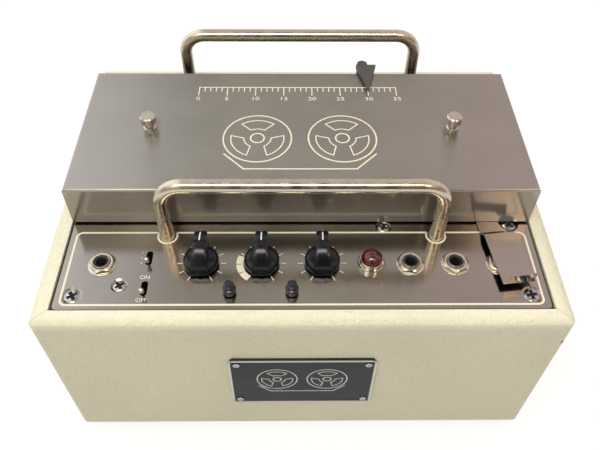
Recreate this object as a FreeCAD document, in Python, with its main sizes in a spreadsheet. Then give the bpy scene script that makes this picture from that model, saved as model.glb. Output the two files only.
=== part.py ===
"""Tape echo unit: a vinyl-covered box with a steel control deck, a removable steel cover over
the tape transport, two carrying handles, and the motor, transformer and valve amplifier inside.

Frame: millimetres, +Z up, +X to the right and -Y towards the player. The origin is on the
surface that the feet stand on, under the middle of the cabinet.
"""
import FreeCAD, Part
import math
import os
import re
import Sketcher
from FreeCAD import Placement, Rotation, Vector

SIZES = {
    # Cabinet: a wooden box, open at the top, on four rubber feet.
    "case_width": 281.6,
    "case_depth": 212,
    "case_height": 119.3,
    "side_wall": 8.9,
    "front_wall": 8.2,
    "floor_board": 6,
    "case_corner": 3,
    "rim_round": 2.8,
    "batten_width": 12,
    "batten_height": 16,
    "foot_height": 5.2,
    "foot_radius": 9,
    "foot_inset": 20,
    # Deck: the steel panel let into the open top.
    "deck_recess": 1.2,
    "deck_sheet": 1.5,
    "deck_gap": 1.2,
    "deck_screw_side": 19.1,
    "deck_screw_end": 18.2,
    "deck_screw_middle": -38.6,
    "deck_screw_middle_inset": 1.6,
    "deck_screw_under_cover": -16,
    "chassis_screw_left": -98,
    "chassis_screw_left_row": -81.4,
    "chassis_screw_right": 46.9,
    "chassis_screw_right_row": -40.7,
    "deck_screw_head": 4.6,
    "chassis_screw_head": 3.7,
    "deck_screw_head_height": 0.05,
    "deck_sink_gap": 0.8,
    "deck_screw_shank": 1.9,
    "deck_screw_length": 12,
    "screw_cross_width": 1,
    "screw_cross_depth": 0.8,
    "screw_fit": 0.15,
    # Sockets, nuts and controls on the deck. Gaps run from the left and from the front.
    "socket_row": -67.5,
    "input_inset": 31.3,
    "switch_gap": 25.05,
    "first_knob_gap": 29.05,
    "knob_pitch": 33.1,
    "lamp_gap": 26.9,
    "playback_gap": 21.6,
    "output_pitch": 24.65,
    "main_output_inset": 32.2,
    "plug_bore": 3.2,
    "plug_depth": 28,
    "socket_body": 7.5,
    "socket_body_depth": 27,
    "bushing_radius": 4.75,
    "bushing_rise": 2.8,
    "bushing_fit": 0.15,
    "nut_flats": 12.7,
    "nut_height": 2,
    "trim_inset": 19.9,
    "trim_gap": 19.3,
    "knob_radius": 9.7,
    "knob_skirt": 4.4,
    "knob_gap": 1.1,
    "knob_height": 14.6,
    "knob_body_width": 7.2,
    "knob_reach": 12.9,
    "knob_recess_radius": 7.65,
    "knob_recess_depth": 2.4,
    "shaft_radius": 3,
    "shaft_fit": 0.1,
    "shaft_rise": 10.5,
    "pot_radius": 8,
    "pot_depth": 9,
    "trim_knob_radius": 3.55,
    "trim_knob_step": 3.2,
    "trim_knob_neck": 2.5,
    "trim_knob_height": 7.6,
    "trim_shaft_radius": 1.6,
    "trim_bushing_radius": 3,
    "stereo_switch_row": -63.2,
    "effect_switch_row": -83.4,
    "slot_length": 9.5,
    "slot_width": 3.6,
    "switch_pivot_drop": 9.3,
    "switch_lever_radius": 1,
    "switch_lever_length": 15,
    "switch_tip_radius": 1.5,
    "switch_tilt": 18,
    "switch_body_width": 9,
    "switch_body_length": 15,
    "switch_body_depth": 14,
    "lamp_row": -67,
    "lamp_flange": 7.5,
    "lamp_flange_height": 2,
    "lamp_collar": 6.7,
    "lamp_collar_height": 4.6,
    "lamp_bush": 5.6,
    "lamp_bush_depth": 18,
    "lamp_bore": 4.6,
    "jewel_radius": 6,
    "jewel_height": 4.6,
    # Handles: two bent rods, screwed on from under the deck.
    "handle_rod": 4,
    "handle_half_span": 76.2,
    "handle_rise": 41.4,
    "handle_bend": 13,
    "handle_gap": 18.9,
    "rear_handle_gap": 21.6,
    "rear_handle_inset": 17.4,
    "handle_screw_radius": 2,
    "handle_screw_grip": 10,
    "handle_screw_head": 4.2,
    "handle_screw_head_height": 3,
    # Cover: a folded steel lid over the transport, held by two thumb screws.
    "cover_front_gap": 9.9,
    "cover_rear_gap": 9.5,
    "cover_height": 26.4,
    "cover_sheet": 1.5,
    "cover_fold": 1.6,
    "cover_rear_lip": 19,
    "thumb_x": 90,
    "thumb_y": 12.6,
    "thumb_head": 4.65,
    "thumb_height": 9.8,
    "thumb_head_height": 4.4,
    "thumb_neck": 2.9,
    "thumb_flange": 3.6,
    "thumb_flange_height": 1.3,
    "thumb_thread": 1.9,
    "thumb_reach": 9,
    "thumb_fit": 0.1,
    "post_radius": 3.2,
    "seat_gap": 0.1,
    # Capstan drive: shaft, flywheel, motor, pulley and belt.
    "capstan_x": 65.2,
    "capstan_gap": 4.4,
    "capstan_radius": 3,
    "capstan_rise": 16.5,
    "flywheel_radius": 31,
    "flywheel_height": 12,
    "flywheel_drop": 43.8,
    "flywheel_hub": 8,
    "bearing_radius": 7,
    "bearing_flange": 14,
    "bearing_flange_height": 3,
    "bearing_length": 39,
    "motor_x": 5,
    "motor_y": 40,
    "motor_radius": 19,
    "motor_length": 37,
    "motor_wall": 2,
    "rotor_gap": 1.5,
    "motor_shaft_radius": 1.6,
    "motor_shaft_fit": 0.1,
    "pulley_radius": 6,
    "pulley_height": 10,
    "belt_width": 4,
    "belt_thickness": 1.2,
    "belt_gap": 0.12,
    # Tape path: the ribbon, its guides, the cartridge and the heads.
    "tape_height": 6.35,
    "tape_rise": 5.7,
    "tape_thickness": 0.3,
    "tape_gap": 0.1,
    "guide_radius": 5.6,
    "guide_rise": 14.5,
    "left_guide_x": -119,
    "right_guide_x": 79,
    "pack_radius": 15,
    "pack_bore": 5,
    "pack_x": -17,
    "tray_left": -86,
    "tray_right": 52,
    "tray_gap": 5,
    "tray_depth": 42,
    "tray_wall": 2,
    "tray_height": 22.9,
    "lid_sheet": 1.5,
    "lid_overlap": 0.5,
    "head_width": 13,
    "head_depth": 13,
    "head_nose": 7,
    "head_slope": 3.5,
    "head_rise": 2.7,
    "head_height": 12,
    "head_gap": 0.3,
    "erase_head_x": -110,
    "record_head_x": -94,
    # Head carriage on its two rails, with the pointer that shows the delay.
    "rail_radius": 2.5,
    "rail_seat_fit": 0.02,
    "rail_gap": 33.1,
    "rail_pitch": 11,
    "rail_rise": 10.7,
    "rail_left": -121,
    "rail_right": 81,
    "rail_block": 8,
    "rail_block_margin": 5,
    "rail_block_height": 16,
    "rail_fit": 0.08,
    "carriage_length": 26,
    "carriage_rise": 3.2,
    "carriage_height": 14.5,
    "carriage_arm_width": 10,
    "carriage_arm_sheet": 2.6,
    "playback_offset": -12,
    "pointer_post_x": 40,
    "pointer_post_y": 71,
    "pointer_post_radius": 2.2,
    "pointer_post_fit": 0.05,
    "pointer_hub_radius": 3.3,
    "pointer_hub_height": 7.5,
    "pointer_clearance": 1,
    "pointer_thickness": 3.2,
    "pointer_half_width": 6.4,
    "pointer_back": 70,
    "pointer_tip_y": 46.3,
    "pointer_tip_offset": 2.4,
    # Pinch lever: a steel strip that carries the pinch roller and hides the main output.
    "lever_pivot_x": 102.7,
    "lever_pivot_y": 24,
    "lever_rest": 6.7,
    "lever_swing": 9,
    "lever_sheet": 0.9,
    "lever_lift": 0.3,
    "lever_clearance": 0.3,
    "lever_strip_width": 8,
    "lever_plate_width": 18,
    "lever_relief": 5.5,
    "lever_wide_start": 56,
    "lever_ramp_start": 70.3,
    "lever_ramp_end": 74.2,
    "lever_length": 107.6,
    "lever_ramp_rise": 3.5,
    "lever_lip_width": 14.2,
    "lever_lip_shift": 0.9,
    "lever_lip_height": 6.4,
    "lever_boss": 6,
    "lever_boss_height": 6,
    "pivot_pin": 3,
    "pivot_fit": 0.08,
    "pivot_cap": 4.5,
    "pivot_cap_height": 1.5,
    "roller_radius": 8,
    "roller_height": 12,
    "roller_lift": 0.5,
    "roller_pin": 2,
    "roller_fit": 0.08,
    # Electronics on the cabinet floor.
    "board_left": -116,
    "board_right": -20,
    "board_front": -48,
    "board_rear": 56,
    "board_sheet": 1.6,
    "board_rise": 12,
    "standoff_radius": 3,
    "standoff_inset": 6,
    "valve_radius": 10.5,
    "valve_height": 48,
    "valve_pitch": 29,
    "first_valve_x": -98,
    "valve_row": 30,
    "valve_socket_radius": 11.5,
    "valve_socket_height": 8,
    "capacitor_radius": 9,
    "capacitor_height": 40,
    "capacitor_row": -20,
    "transformer_x": 87,
    "transformer_y": 66,
    "transformer_length": 52,
    "transformer_width": 30,
    "transformer_height": 44,
    "coil_length": 32,
    "coil_width": 44,
    "coil_height": 30,
    # Rear panel behind its window, with the mains fittings.
    "window_width": 104,
    "window_height": 44,
    "window_base": 32,
    "plate_margin": 6,
    "plate_sheet": 1.5,
    "plate_screw_head": 1.9,
    "plate_screw_head_height": 0.8,
    "plate_screw_shank": 1.1,
    "plate_screw_length": 6,
    "plate_screw_cross": 0.5,
    "inlet_x": -30,
    "inlet_width": 27,
    "inlet_height": 20,
    "inlet_flange_width": 36,
    "inlet_flange_height": 26,
    "inlet_flange_sheet": 3,
    "inlet_depth": 22,
    "inlet_cavity_width": 24,
    "inlet_cavity_height": 16.5,
    "inlet_cavity_depth": 17,
    "inlet_pin_width": 2,
    "inlet_pin_height": 4,
    "inlet_pin_length": 11,
    "inlet_pin_pitch": 7,
    "fuse_x": 6,
    "fuse_cap": 6.5,
    "fuse_cap_length": 7,
    "fuse_body": 5.5,
    "fuse_body_length": 34,
    "power_x": 34,
    "power_body_width": 13,
    "power_body_length": 18,
    "power_body_depth": 16,
    "power_bushing": 5,
    "power_bushing_length": 4.5,
    "power_bore": 3.1,
    "power_lever_radius": 1.3,
    "power_lever_length": 11.5,
    "power_tip_radius": 2.1,
    "power_tilt": 11,
    "power_pivot_inset": 3,
    # Badge on the front of the cabinet.
    "badge_width": 83,
    "badge_height": 51,
    "badge_base": 37.4,
    "badge_sheet": 2,
    "badge_corner": 3.5,
    "badge_rim": 1.2,
    "badge_recess": 0.5,
    "badge_screw_inset": 4.6,
}

doc = FreeCAD.newDocument("tape_echo_unit")
sheet = doc.addObject("Spreadsheet::Sheet", "Sizes")
for row, (alias, number) in enumerate(SIZES.items(), start=1):
    sheet.set(f"A{row}", alias)
    sheet.set(f"B{row}", str(number))
    sheet.setAlias(f"B{row}", alias)
doc.recompute()

UP = Vector(0, 0, 1)
BACK = Vector(0, 1, 0)
RIGHT = Vector(1, 0, 0)
UPRIGHT = Rotation()
BACKWARD = Rotation(UP, BACK)
SIDEWAYS = Rotation(UP, RIGHT)

# Heights that several pieces share, written in the sheet's own names.
CASE_TOP = "(foot_height + case_height)"
FLOOR_TOP = "(foot_height + floor_board)"
DECK_TOP = "(foot_height + case_height - deck_recess)"
DECK_BASE = f"({DECK_TOP} - deck_sheet)"
COVER_GAP = "(lever_lift + lever_sheet + lever_clearance)"
COVER_BASE = f"({DECK_TOP} + {COVER_GAP})"
COVER_TOP = f"({COVER_BASE} + cover_height)"
BOARD_BASE = f"({FLOOR_TOP} + board_rise)"
BOARD_TOP = f"({BOARD_BASE} + board_sheet)"
REAR_INNER = "(case_depth / 2 - front_wall)"
TAPE_LINE = "(capstan_y + capstan_radius + tape_gap + tape_thickness / 2)"
TAPE_BASE = f"({DECK_TOP} + tape_rise)"
HEAD_FACE = f"({TAPE_LINE} + tape_thickness / 2 + head_gap)"
ROLLER_DX = "(capstan_x - lever_pivot_x)"
ROLLER_DY = f"({TAPE_LINE} + tape_thickness / 2 + tape_gap + roller_radius - lever_pivot_y)"
WINDOW_MIDDLE = "(window_base + window_height / 2)"

# The controls share the width between two sockets, and the rows share the depth between the
# small knobs and the rear handle, in proportion to their gaps.
COLUMNS = [("switch_x", "switch_gap"), ("first_knob_x", "first_knob_gap"),
           ("last_knob_x", "2 * knob_pitch"), ("lamp_x", "lamp_gap"),
           ("playback_x", "playback_gap"), ("main_output_x", "2 * output_pitch")]
ROWS = [("knob_row", "trim_gap"), ("front_handle_y", "handle_gap"),
        ("cover_front", "cover_front_gap"), ("tray_front", "tray_gap"),
        ("tray_rear", "tray_depth"), ("capstan_y", "capstan_gap"), ("rail_front", "rail_gap"),
        ("rail_rear", "rail_pitch"), ("cover_rear", "cover_rear_gap"),
        ("rear_handle_y", "rear_handle_gap")]
ACROSS = f"((case_width - input_inset - main_output_inset) / ({' + '.join(g for _, g in COLUMNS)}))"
ALONG = f"((case_depth - trim_inset - rear_handle_inset) / ({' + '.join(g for _, g in ROWS)}))"
PLACES = {
    "input_x": "(input_inset - case_width / 2)",
    "trim_row": "(trim_inset - case_depth / 2)",
    "knob_step": f"(knob_pitch * {ACROSS})",
    "output_step": f"(output_pitch * {ACROSS})",
    "deck_screw_x": "(case_width / 2 - deck_screw_side)",
    "deck_screw_front": "(deck_screw_end - case_depth / 2)",
    "deck_screw_rear": "(case_depth / 2 - deck_screw_end)",
    "cover_width": "(case_width - 2 * side_wall - deck_gap)",
}
for chain, start, ratio in ((COLUMNS, "input_x", ACROSS), (ROWS, "trim_row", ALONG)):
    for count, (place_name, _) in enumerate(chain, start=1):
        gaps = " + ".join(gap for _, gap in chain[:count])
        PLACES[place_name] = f"({start} + ({gaps}) * {ratio})"
# Places that are given from the middle of the cabinet, and follow its width or its depth.
FOLLOWS = dict.fromkeys((
    "chassis_screw_left", "chassis_screw_right", "thumb_x", "capstan_x", "motor_x",
    "left_guide_x", "right_guide_x", "pack_x", "tray_left", "tray_right", "erase_head_x",
    "record_head_x", "rail_left", "rail_right", "pointer_post_x", "lever_pivot_x", "board_left",
    "board_right", "first_valve_x", "valve_pitch", "transformer_x"), ACROSS)
FOLLOWS.update(dict.fromkeys((
    "deck_screw_middle", "deck_screw_under_cover", "chassis_screw_left_row",
    "chassis_screw_right_row", "socket_row",
    "stereo_switch_row", "effect_switch_row", "lamp_row", "thumb_y", "motor_y",
    "pointer_post_y", "pointer_back", "pointer_tip_y", "lever_pivot_y", "lever_wide_start",
    "lever_ramp_start", "lever_ramp_end", "lever_length", "board_front", "board_rear",
    "valve_row", "capacitor_row", "transformer_y"), ALONG))

PIECES = []


def full(expression):
    """The expression with every name written as a cell of the sheet, or as its chain of cells."""
    def known(word):
        name = word[0]
        if name in PLACES:
            return full(PLACES[name])
        if name in FOLLOWS:
            return f"(Sizes.{name} * {full(FOLLOWS[name])})"
        return f"Sizes.{name}" if name in SIZES else name
    return re.sub(r"[a-z]\w+", known, str(expression))


def value(expression):
    """What an expression of the sheet's names comes to, as a plain number."""
    result = sheet.evalExpression(full(expression))
    return float(getattr(result, "Value", result))


def bind(thing, **sizes):
    """Bind properties of a document object to the sheet."""
    for name, expression in sizes.items():
        thing.setExpression(name, full(expression))
    return thing


def place(thing, spot, turn=UPRIGHT, angle=None):
    """Set a turn about a fixed axis, and bind the place, and the angle where one is given."""
    thing.Placement = Placement(Vector(), turn)
    for letter, expression in zip("xyz", spot):
        thing.setExpression(f".Placement.Base.{letter}", full(expression))
    if angle is not None:
        thing.Placement = Placement(Vector(), Rotation(UP, value(angle)))
        thing.setExpression(".Placement.Rotation.Angle", full(f"({angle}) * 1 deg"))
    return thing


def rod(name, spot, radius, length, turn=UPRIGHT):
    """A round bar that starts at the spot."""
    thing = bind(doc.addObject("Part::Cylinder", name), Radius=radius, Height=length)
    return place(thing, spot, turn)


def ball(name, spot, radius):
    """A ball about the spot."""
    return place(bind(doc.addObject("Part::Sphere", name), Radius=radius), spot)


def block(name, spot, length, width, height):
    """A box that stands on the spot and is centred on it in x and y."""
    thing = bind(doc.addObject("Part::Box", name), Length=length, Width=width, Height=height)
    x, y, z = spot
    return place(thing, (f"{x} - ({length}) / 2", f"{y} - ({width}) / 2", z))


def fuse(name, *parts):
    """One solid made of several that touch or overlap."""
    thing = doc.addObject("Part::MultiFuse", name)
    thing.Shapes = list(parts)
    thing.Refine = True
    return thing


def cut(name, base, *tools):
    """The base with the tools taken out of it."""
    thing = doc.addObject("Part::Cut", name)
    thing.Base = base
    thing.Tool = tools[0] if len(tools) == 1 else fuse(f"{name}_tools", *tools)
    return thing


def group(name, parts):
    """Separate solids that share one node."""
    thing = doc.addObject("Part::Compound", name)
    thing.Links = list(parts)
    return thing


def new_body(name, spot=("0", "0", "0"), turn=UPRIGHT):
    """An empty PartDesign body at the spot."""
    return place(doc.addObject("PartDesign::Body", name), spot, turn)


def sketch(body, name, plane, outlines=(), circles=(), raise_by="0"):
    """A sketch on one of the body's planes: closed outlines, and circles as x, y, radius."""
    drawing = body.newObject("Sketcher::SketchObject", name)
    support = next(feature for feature in body.Origin.OriginFeatures if feature.Role == plane)
    drawing.AttachmentSupport = [(support, "")]
    drawing.MapMode = "FlatFace"
    drawing.setExpression(".AttachmentOffset.Base.z", full(raise_by))
    for points in outlines:
        first = drawing.GeometryCount
        spots = [Vector(value(x), value(y), 0) for x, y in points]
        for start, end in zip(spots, spots[1:] + spots[:1]):
            drawing.addGeometry(Part.LineSegment(start, end), False)
        for index, (x, y) in enumerate(points):
            after = first + (index + 1) % len(points)
            line = first + index
            drawing.addConstraint(Sketcher.Constraint("Coincident", line, 2, after, 1))
            bind_point(drawing, line, 1, x, y)
    for x, y, radius in circles:
        centre = Vector(value(x), value(y), 0)
        circle = drawing.addGeometry(Part.Circle(centre, UP, value(radius)), False)
        bind_point(drawing, circle, 3, x, y)
        rule = drawing.addConstraint(Sketcher.Constraint("Radius", circle, value(radius)))
        drawing.setExpression(f"Constraints[{rule}]", full(radius))
    return drawing


def bind_point(drawing, geometry, point, x, y):
    """Hold one point of a sketch at x and y from its origin."""
    for kind, expression in (("DistanceX", x), ("DistanceY", y)):
        rule = Sketcher.Constraint(kind, -1, 1, geometry, point, value(expression))
        index = drawing.addConstraint(rule)
        drawing.setExpression(f"Constraints[{index}]", full(expression))


def rectangle(x, y, length, width):
    """The corners of a rectangle centred on x and y."""
    left, right = f"{x} - ({length}) / 2", f"{x} + ({length}) / 2"
    near, far = f"{y} - ({width}) / 2", f"{y} + ({width}) / 2"
    return [(left, near), (right, near), (right, far), (left, far)]


def pad(body, drawing, length, midplane=False, backwards=False):
    """Material raised from a sketch."""
    feature = bind(body.newObject("PartDesign::Pad", f"{drawing.Name}_pad"), Length=length)
    feature.Profile = drawing
    feature.SideType = "Symmetric" if midplane else "One side"
    feature.Reversed = backwards
    body.Tip = feature
    doc.recompute()
    return feature


def pocket(body, drawing, depth, backwards=False):
    """Material taken away below a sketch; it must take some away."""
    before = body.Shape.Volume
    feature = bind(body.newObject("PartDesign::Pocket", f"{drawing.Name}_pocket"), Length=depth)
    feature.Profile = drawing
    feature.Reversed = backwards
    body.Tip = feature
    doc.recompute()
    if body.Shape.Volume >= before:
        raise RuntimeError(f"{feature.Name} cuts nothing")
    return feature


def revolve(body, drawing):
    """A full turn of a sketch on the XZ plane about its upright axis."""
    feature = body.newObject("PartDesign::Revolution", f"{drawing.Name}_revolution")
    feature.Profile = drawing
    feature.ReferenceAxis = (drawing, ["V_Axis"])
    feature.Angle = 360
    body.Tip = feature
    doc.recompute()
    return feature


def soften(body, name, radius, wanted):
    """Round the edges that the test picks out."""
    base = body.Tip
    edges = [f"Edge{i}" for i, edge in enumerate(base.Shape.Edges, start=1) if wanted(edge)]
    feature = body.newObject("PartDesign::Fillet", name)
    feature.Base = (base, edges)
    feature.Radius = value(radius)
    bind(feature, Radius=radius)
    body.Tip = feature
    doc.recompute()
    return feature


def upright_edge(edge):
    """True for a straight edge that runs up and down."""
    ends = [vertex.Point for vertex in edge.Vertexes]
    return len(ends) == 2 and (ends[1] - ends[0]).cross(UP).Length < 1e-6


def edge_to_rear(edge):
    """True for a straight edge that runs from front to back."""
    ends = [vertex.Point for vertex in edge.Vertexes]
    return len(ends) == 2 and (ends[1] - ends[0]).cross(BACK).Length < 1e-6


def level_edge(height):
    """A test for edges that lie wholly at one height."""
    return lambda edge: all(abs(v.Point.z - value(height)) < 1e-6 for v in edge.Vertexes)


def turned(name, profile, spot):
    """A turned piece: the outline in radius and height, swept about an upright axis."""
    body = new_body(name, spot)
    revolve(body, sketch(body, f"{name}_profile", "XZ_Plane", [profile]))
    return body


def piece(label, thing):
    """Name a finished sub-part, and list it for export."""
    thing.Label = label
    PIECES.append(thing)
    return thing


def cross(name, spot, head, width):
    """Two crossed bars, from the spot up, that cut the driver's cross into a screw head."""
    return [block(f"{name}_bar_{way}", spot, long, wide, "screw_cross_depth * 2")
            for way, long, wide in (("a", f"{head} * 1.3", width), ("b", width, f"{head} * 1.3"))]


def cross_screw(name, spot, head, head_height, shank, length, width, turn):
    """A cross-head screw: its head rises from the spot along the turn, its shank goes the other way."""
    top = rod(f"{name}_head", ("0", "0", "0"), head, head_height)
    stem = rod(f"{name}_shank", ("0", "0", f"-{length}"), shank, f"{length} + {head_height} / 2")
    bars = cross(name, ("0", "0", f"{head_height} - screw_cross_depth"), head, width)
    return place(cut(name, fuse(f"{name}_blank", top, stem), *bars), spot, turn)


def hexagon(x, y, flats):
    """The corners of a hexagon across flats."""
    corner = f"({flats}) / (2 * cos(30))"
    return [
        (f"{x} + {corner} * cos({60 * k})", f"{y} + {corner} * sin({60 * k})") for k in range(6)
    ]


# Where things stand on the deck.
KNOB_XS = [f"(first_knob_x + {k} * knob_step)" for k in range(3)]
TRIM_XS = [f"(first_knob_x + {k}.5 * knob_step)" for k in range(2)]
OUTPUT_XS = [f"(main_output_x - {k} * output_step)" for k in range(3)]
SOCKET_XS = ["input_x", OUTPUT_XS[2], OUTPUT_XS[1], OUTPUT_XS[0]]
SWITCH_ROWS = ["stereo_switch_row", "effect_switch_row"]
BATTEN_SCREWS = [
    ("-deck_screw_x", "deck_screw_under_cover"),
    ("(deck_screw_x - deck_screw_middle_inset)", "deck_screw_middle"),
]
BATTEN_SCREWS += [(f"{side} * deck_screw_x", row) for side in (-1, 1)
                  for row in ("deck_screw_front", "deck_screw_rear")]
CHASSIS_SCREWS = [
    ("chassis_screw_left", "chassis_screw_left_row"),
    ("chassis_screw_right", "chassis_screw_right_row"),
]
DECK_SCREWS = [(x, y, "deck_screw_head") for x, y in BATTEN_SCREWS]
DECK_SCREWS += [(x, y, "chassis_screw_head") for x, y in CHASSIS_SCREWS]
HANDLE_SPOTS = [
    (f"{side} * handle_half_span", row)
    for row in ("front_handle_y", "rear_handle_y")
    for side in (-1, 1)
]
BADGE_SPOTS = [
    (f"{side} * (badge_width / 2 - badge_screw_inset)", height)
    for side in (-1, 1)
    for height in ("badge_base + badge_screw_inset",
                   "badge_base + badge_height - badge_screw_inset")
]
PLATE_SPOTS = [
    (f"{side} * (window_width / 2 + plate_margin / 2)", height)
    for side in (-1, 1)
    for height in ("window_base + plate_margin", "window_base + window_height - plate_margin")
]


def cabinet_box():
    """The wooden box: four walls, a floor, two battens for the deck and a window at the rear."""
    body = new_body("cabinet", ("0", "0", "foot_height"))
    pad(body, sketch(body, "walls", "XY_Plane", [rectangle("0", "0", "case_width", "case_depth")]),
        "case_height")
    soften(body, "corners", "case_corner", upright_edge)
    soften(body, "rim", "rim_round", level_edge("case_height"))
    inner_width, inner_depth = "case_width - 2 * side_wall", "case_depth - 2 * front_wall"
    hollow = sketch(body, "hollow", "XY_Plane", [rectangle("0", "0", inner_width, inner_depth)],
                    raise_by="case_height")
    pocket(body, hollow, "case_height - floor_board")
    middle = "(case_width / 2 - side_wall - batten_width / 2)"
    base = f"{DECK_BASE} - foot_height - batten_height"
    length = f"{inner_depth} + front_wall"
    rails = [rectangle(f"{side} * ({middle} + 1)", "0", "batten_width + 2", length)
             for side in (-1, 1)]
    pad(body, sketch(body, "battens", "XY_Plane", rails, raise_by=base), "batten_height")
    holes = [(x, y, "deck_screw_shank + screw_fit / 2") for x, y in BATTEN_SCREWS]
    pocket(body, sketch(body, "pilot_holes", "XY_Plane", circles=holes, raise_by="case_height"),
           f"{CASE_TOP} - {DECK_BASE} + deck_screw_length")
    window = block("window", ("0", "case_depth / 2", "window_base"),
                   "window_width", "front_wall * 4", "window_height")
    badge_holes = [
        rod(f"badge_hole_{k}", (x, "-case_depth / 2 - 1", z),
            "plate_screw_shank + screw_fit / 2", "plate_screw_length + 1", BACKWARD)
        for k, (x, z) in enumerate(BADGE_SPOTS)
    ]
    plate_holes = [
        rod(f"plate_hole_{k}", (x, f"{REAR_INNER} - 1", z),
            "plate_screw_shank + screw_fit / 2", "plate_screw_length + 1", BACKWARD)
        for k, (x, z) in enumerate(PLATE_SPOTS)
    ]
    piece("cabinet_box", cut("cabinet_cut", body, window, *badge_holes, *plate_holes))


def rubber_feet():
    """Four round feet, a little narrower at the bottom."""
    feet = []
    for k, (side, end) in enumerate(((-1, -1), (1, -1), (-1, 1), (1, 1))):
        foot = bind(doc.addObject("Part::Cone", f"foot_{k}"), Radius1="foot_radius * 0.85",
                    Radius2="foot_radius", Height="foot_height")
        feet.append(place(foot, (f"{side} * (case_width / 2 - foot_inset)",
                                 f"{end} * (case_depth / 2 - foot_inset)", "0")))
    piece("rubber_feet", group("feet", feet))


def badge():
    """The badge plate: a rounded plate with a raised rim, and its seat on the front wall."""
    body = new_body("badge", ("0", "-case_depth / 2", "badge_base"))
    face = rectangle("0", "badge_height / 2", "badge_width", "badge_height")
    pad(body, sketch(body, "badge_face", "XZ_Plane", [face]), "badge_sheet")
    soften(body, "badge_corners", "badge_corner", edge_to_rear)
    field = rectangle("0", "badge_height / 2", "badge_width - 2 * badge_rim",
                      "badge_height - 2 * badge_rim")
    pocket(body, sketch(body, "badge_field", "XZ_Plane", [field], raise_by="badge_sheet"),
           "badge_recess")
    holes = [
        rod(f"badge_clear_{k}", (x, "-case_depth / 2 - badge_sheet - 1", z),
            "plate_screw_shank + screw_fit", "badge_sheet + 2", BACKWARD)
        for k, (x, z) in enumerate(BADGE_SPOTS)
    ]
    piece("badge_plate", cut("badge_cut", body, *holes))


def plate_screws():
    """Eight small screws: four hold the badge, and four the rear plate from inside."""
    sizes = ("plate_screw_head", "plate_screw_head_height", "plate_screw_shank")
    forward = Rotation(UP, -BACK)
    badge_seat = "-case_depth / 2 - badge_sheet + badge_recess"
    plate_seat = f"{REAR_INNER} - plate_sheet"
    screws = []
    for k, (x, z) in enumerate(BADGE_SPOTS):
        screws.append(cross_screw(f"badge_screw_{k}", (x, badge_seat, z), *sizes,
                                  "plate_screw_length", "plate_screw_cross", forward))
    for k, (x, z) in enumerate(PLATE_SPOTS):
        screws.append(cross_screw(f"plate_screw_{k}", (x, plate_seat, z), *sizes,
                                  "plate_screw_length", "plate_screw_cross", forward))
    piece("plate_screws", group("small_screws", screws))


def top_deck():
    """The steel deck with a hole for everything that passes through it."""
    body = new_body("deck", ("0", "0", DECK_BASE))
    length = "case_width - 2 * side_wall - 2 * deck_gap"
    width = "case_depth - 2 * front_wall - 2 * deck_gap"
    pad(body, sketch(body, "deck_sheet_outline", "XY_Plane", [rectangle("0", "0", length, width)]),
        "deck_sheet")
    soften(body, "deck_corners", "deck_gap * 2", upright_edge)
    bushing_hole = "bushing_radius + bushing_fit"
    circles = [(x, "socket_row", bushing_hole) for x in SOCKET_XS]
    circles += [(x, "knob_row", bushing_hole) for x in KNOB_XS]
    circles += [(x, "trim_row", "trim_bushing_radius + bushing_fit") for x in TRIM_XS]
    circles += [("lamp_x", "lamp_row", "lamp_bush + bushing_fit")]
    circles += [(x, y, "handle_screw_radius + screw_fit") for x, y in HANDLE_SPOTS]
    circles += [("capstan_x", "capstan_y", "capstan_radius + bushing_fit * 4")]
    pocket(body, sketch(body, "round_holes", "XY_Plane", circles=circles, raise_by="deck_sheet"),
           "deck_sheet")
    slots = [rectangle("switch_x", row, "slot_width", "slot_length - slot_width")
             for row in SWITCH_ROWS]
    pocket(body, sketch(body, "switch_slots", "XY_Plane", slots, raise_by="deck_sheet"),
           "deck_sheet")
    ends = [("switch_x", f"{row} + {end} * (slot_length - slot_width) / 2", "slot_width / 2")
            for row in SWITCH_ROWS for end in (-1, 1)]
    pocket(body, sketch(body, "slot_ends", "XY_Plane", circles=ends, raise_by="deck_sheet"),
           "deck_sheet")
    sinks = []
    for k, (x, y, head) in enumerate(DECK_SCREWS):
        sink = bind(doc.addObject("Part::Cone", f"countersink_{k}"), Height="deck_sheet",
                    Radius1="deck_screw_shank + screw_fit", Radius2=f"{head} + deck_sink_gap")
        sinks.append(place(sink, (x, y, DECK_BASE)))
    piece("top_deck", cut("deck_cut", body, *sinks))


def deck_screws():
    """Countersunk cross-head screws that hold the deck to the battens and the chassis under it."""
    screws = []
    for k, (x, y, head) in enumerate(DECK_SCREWS):
        profile = [
            ("0", "-deck_screw_length"),
            ("deck_screw_shank", "-deck_screw_length"),
            ("deck_screw_shank", "-deck_sheet"),
            (head, "0"),
            (f"{head} * 0.75", "deck_screw_head_height * 0.7"),
            (f"{head} * 0.4", "deck_screw_head_height"),
            ("0", "deck_screw_head_height"),
        ]
        blank = turned(f"deck_screw_{k}_blank", profile, (x, y, DECK_TOP))
        spot = (x, y, f"{DECK_TOP} + deck_screw_head_height - screw_cross_depth")
        bars = cross(f"deck_screw_{k}", spot, head, "screw_cross_width")
        screws.append(cut(f"deck_screw_{k}", blank, *bars))
    piece("deck_screws", group("deck_screw_group", screws))


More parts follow.
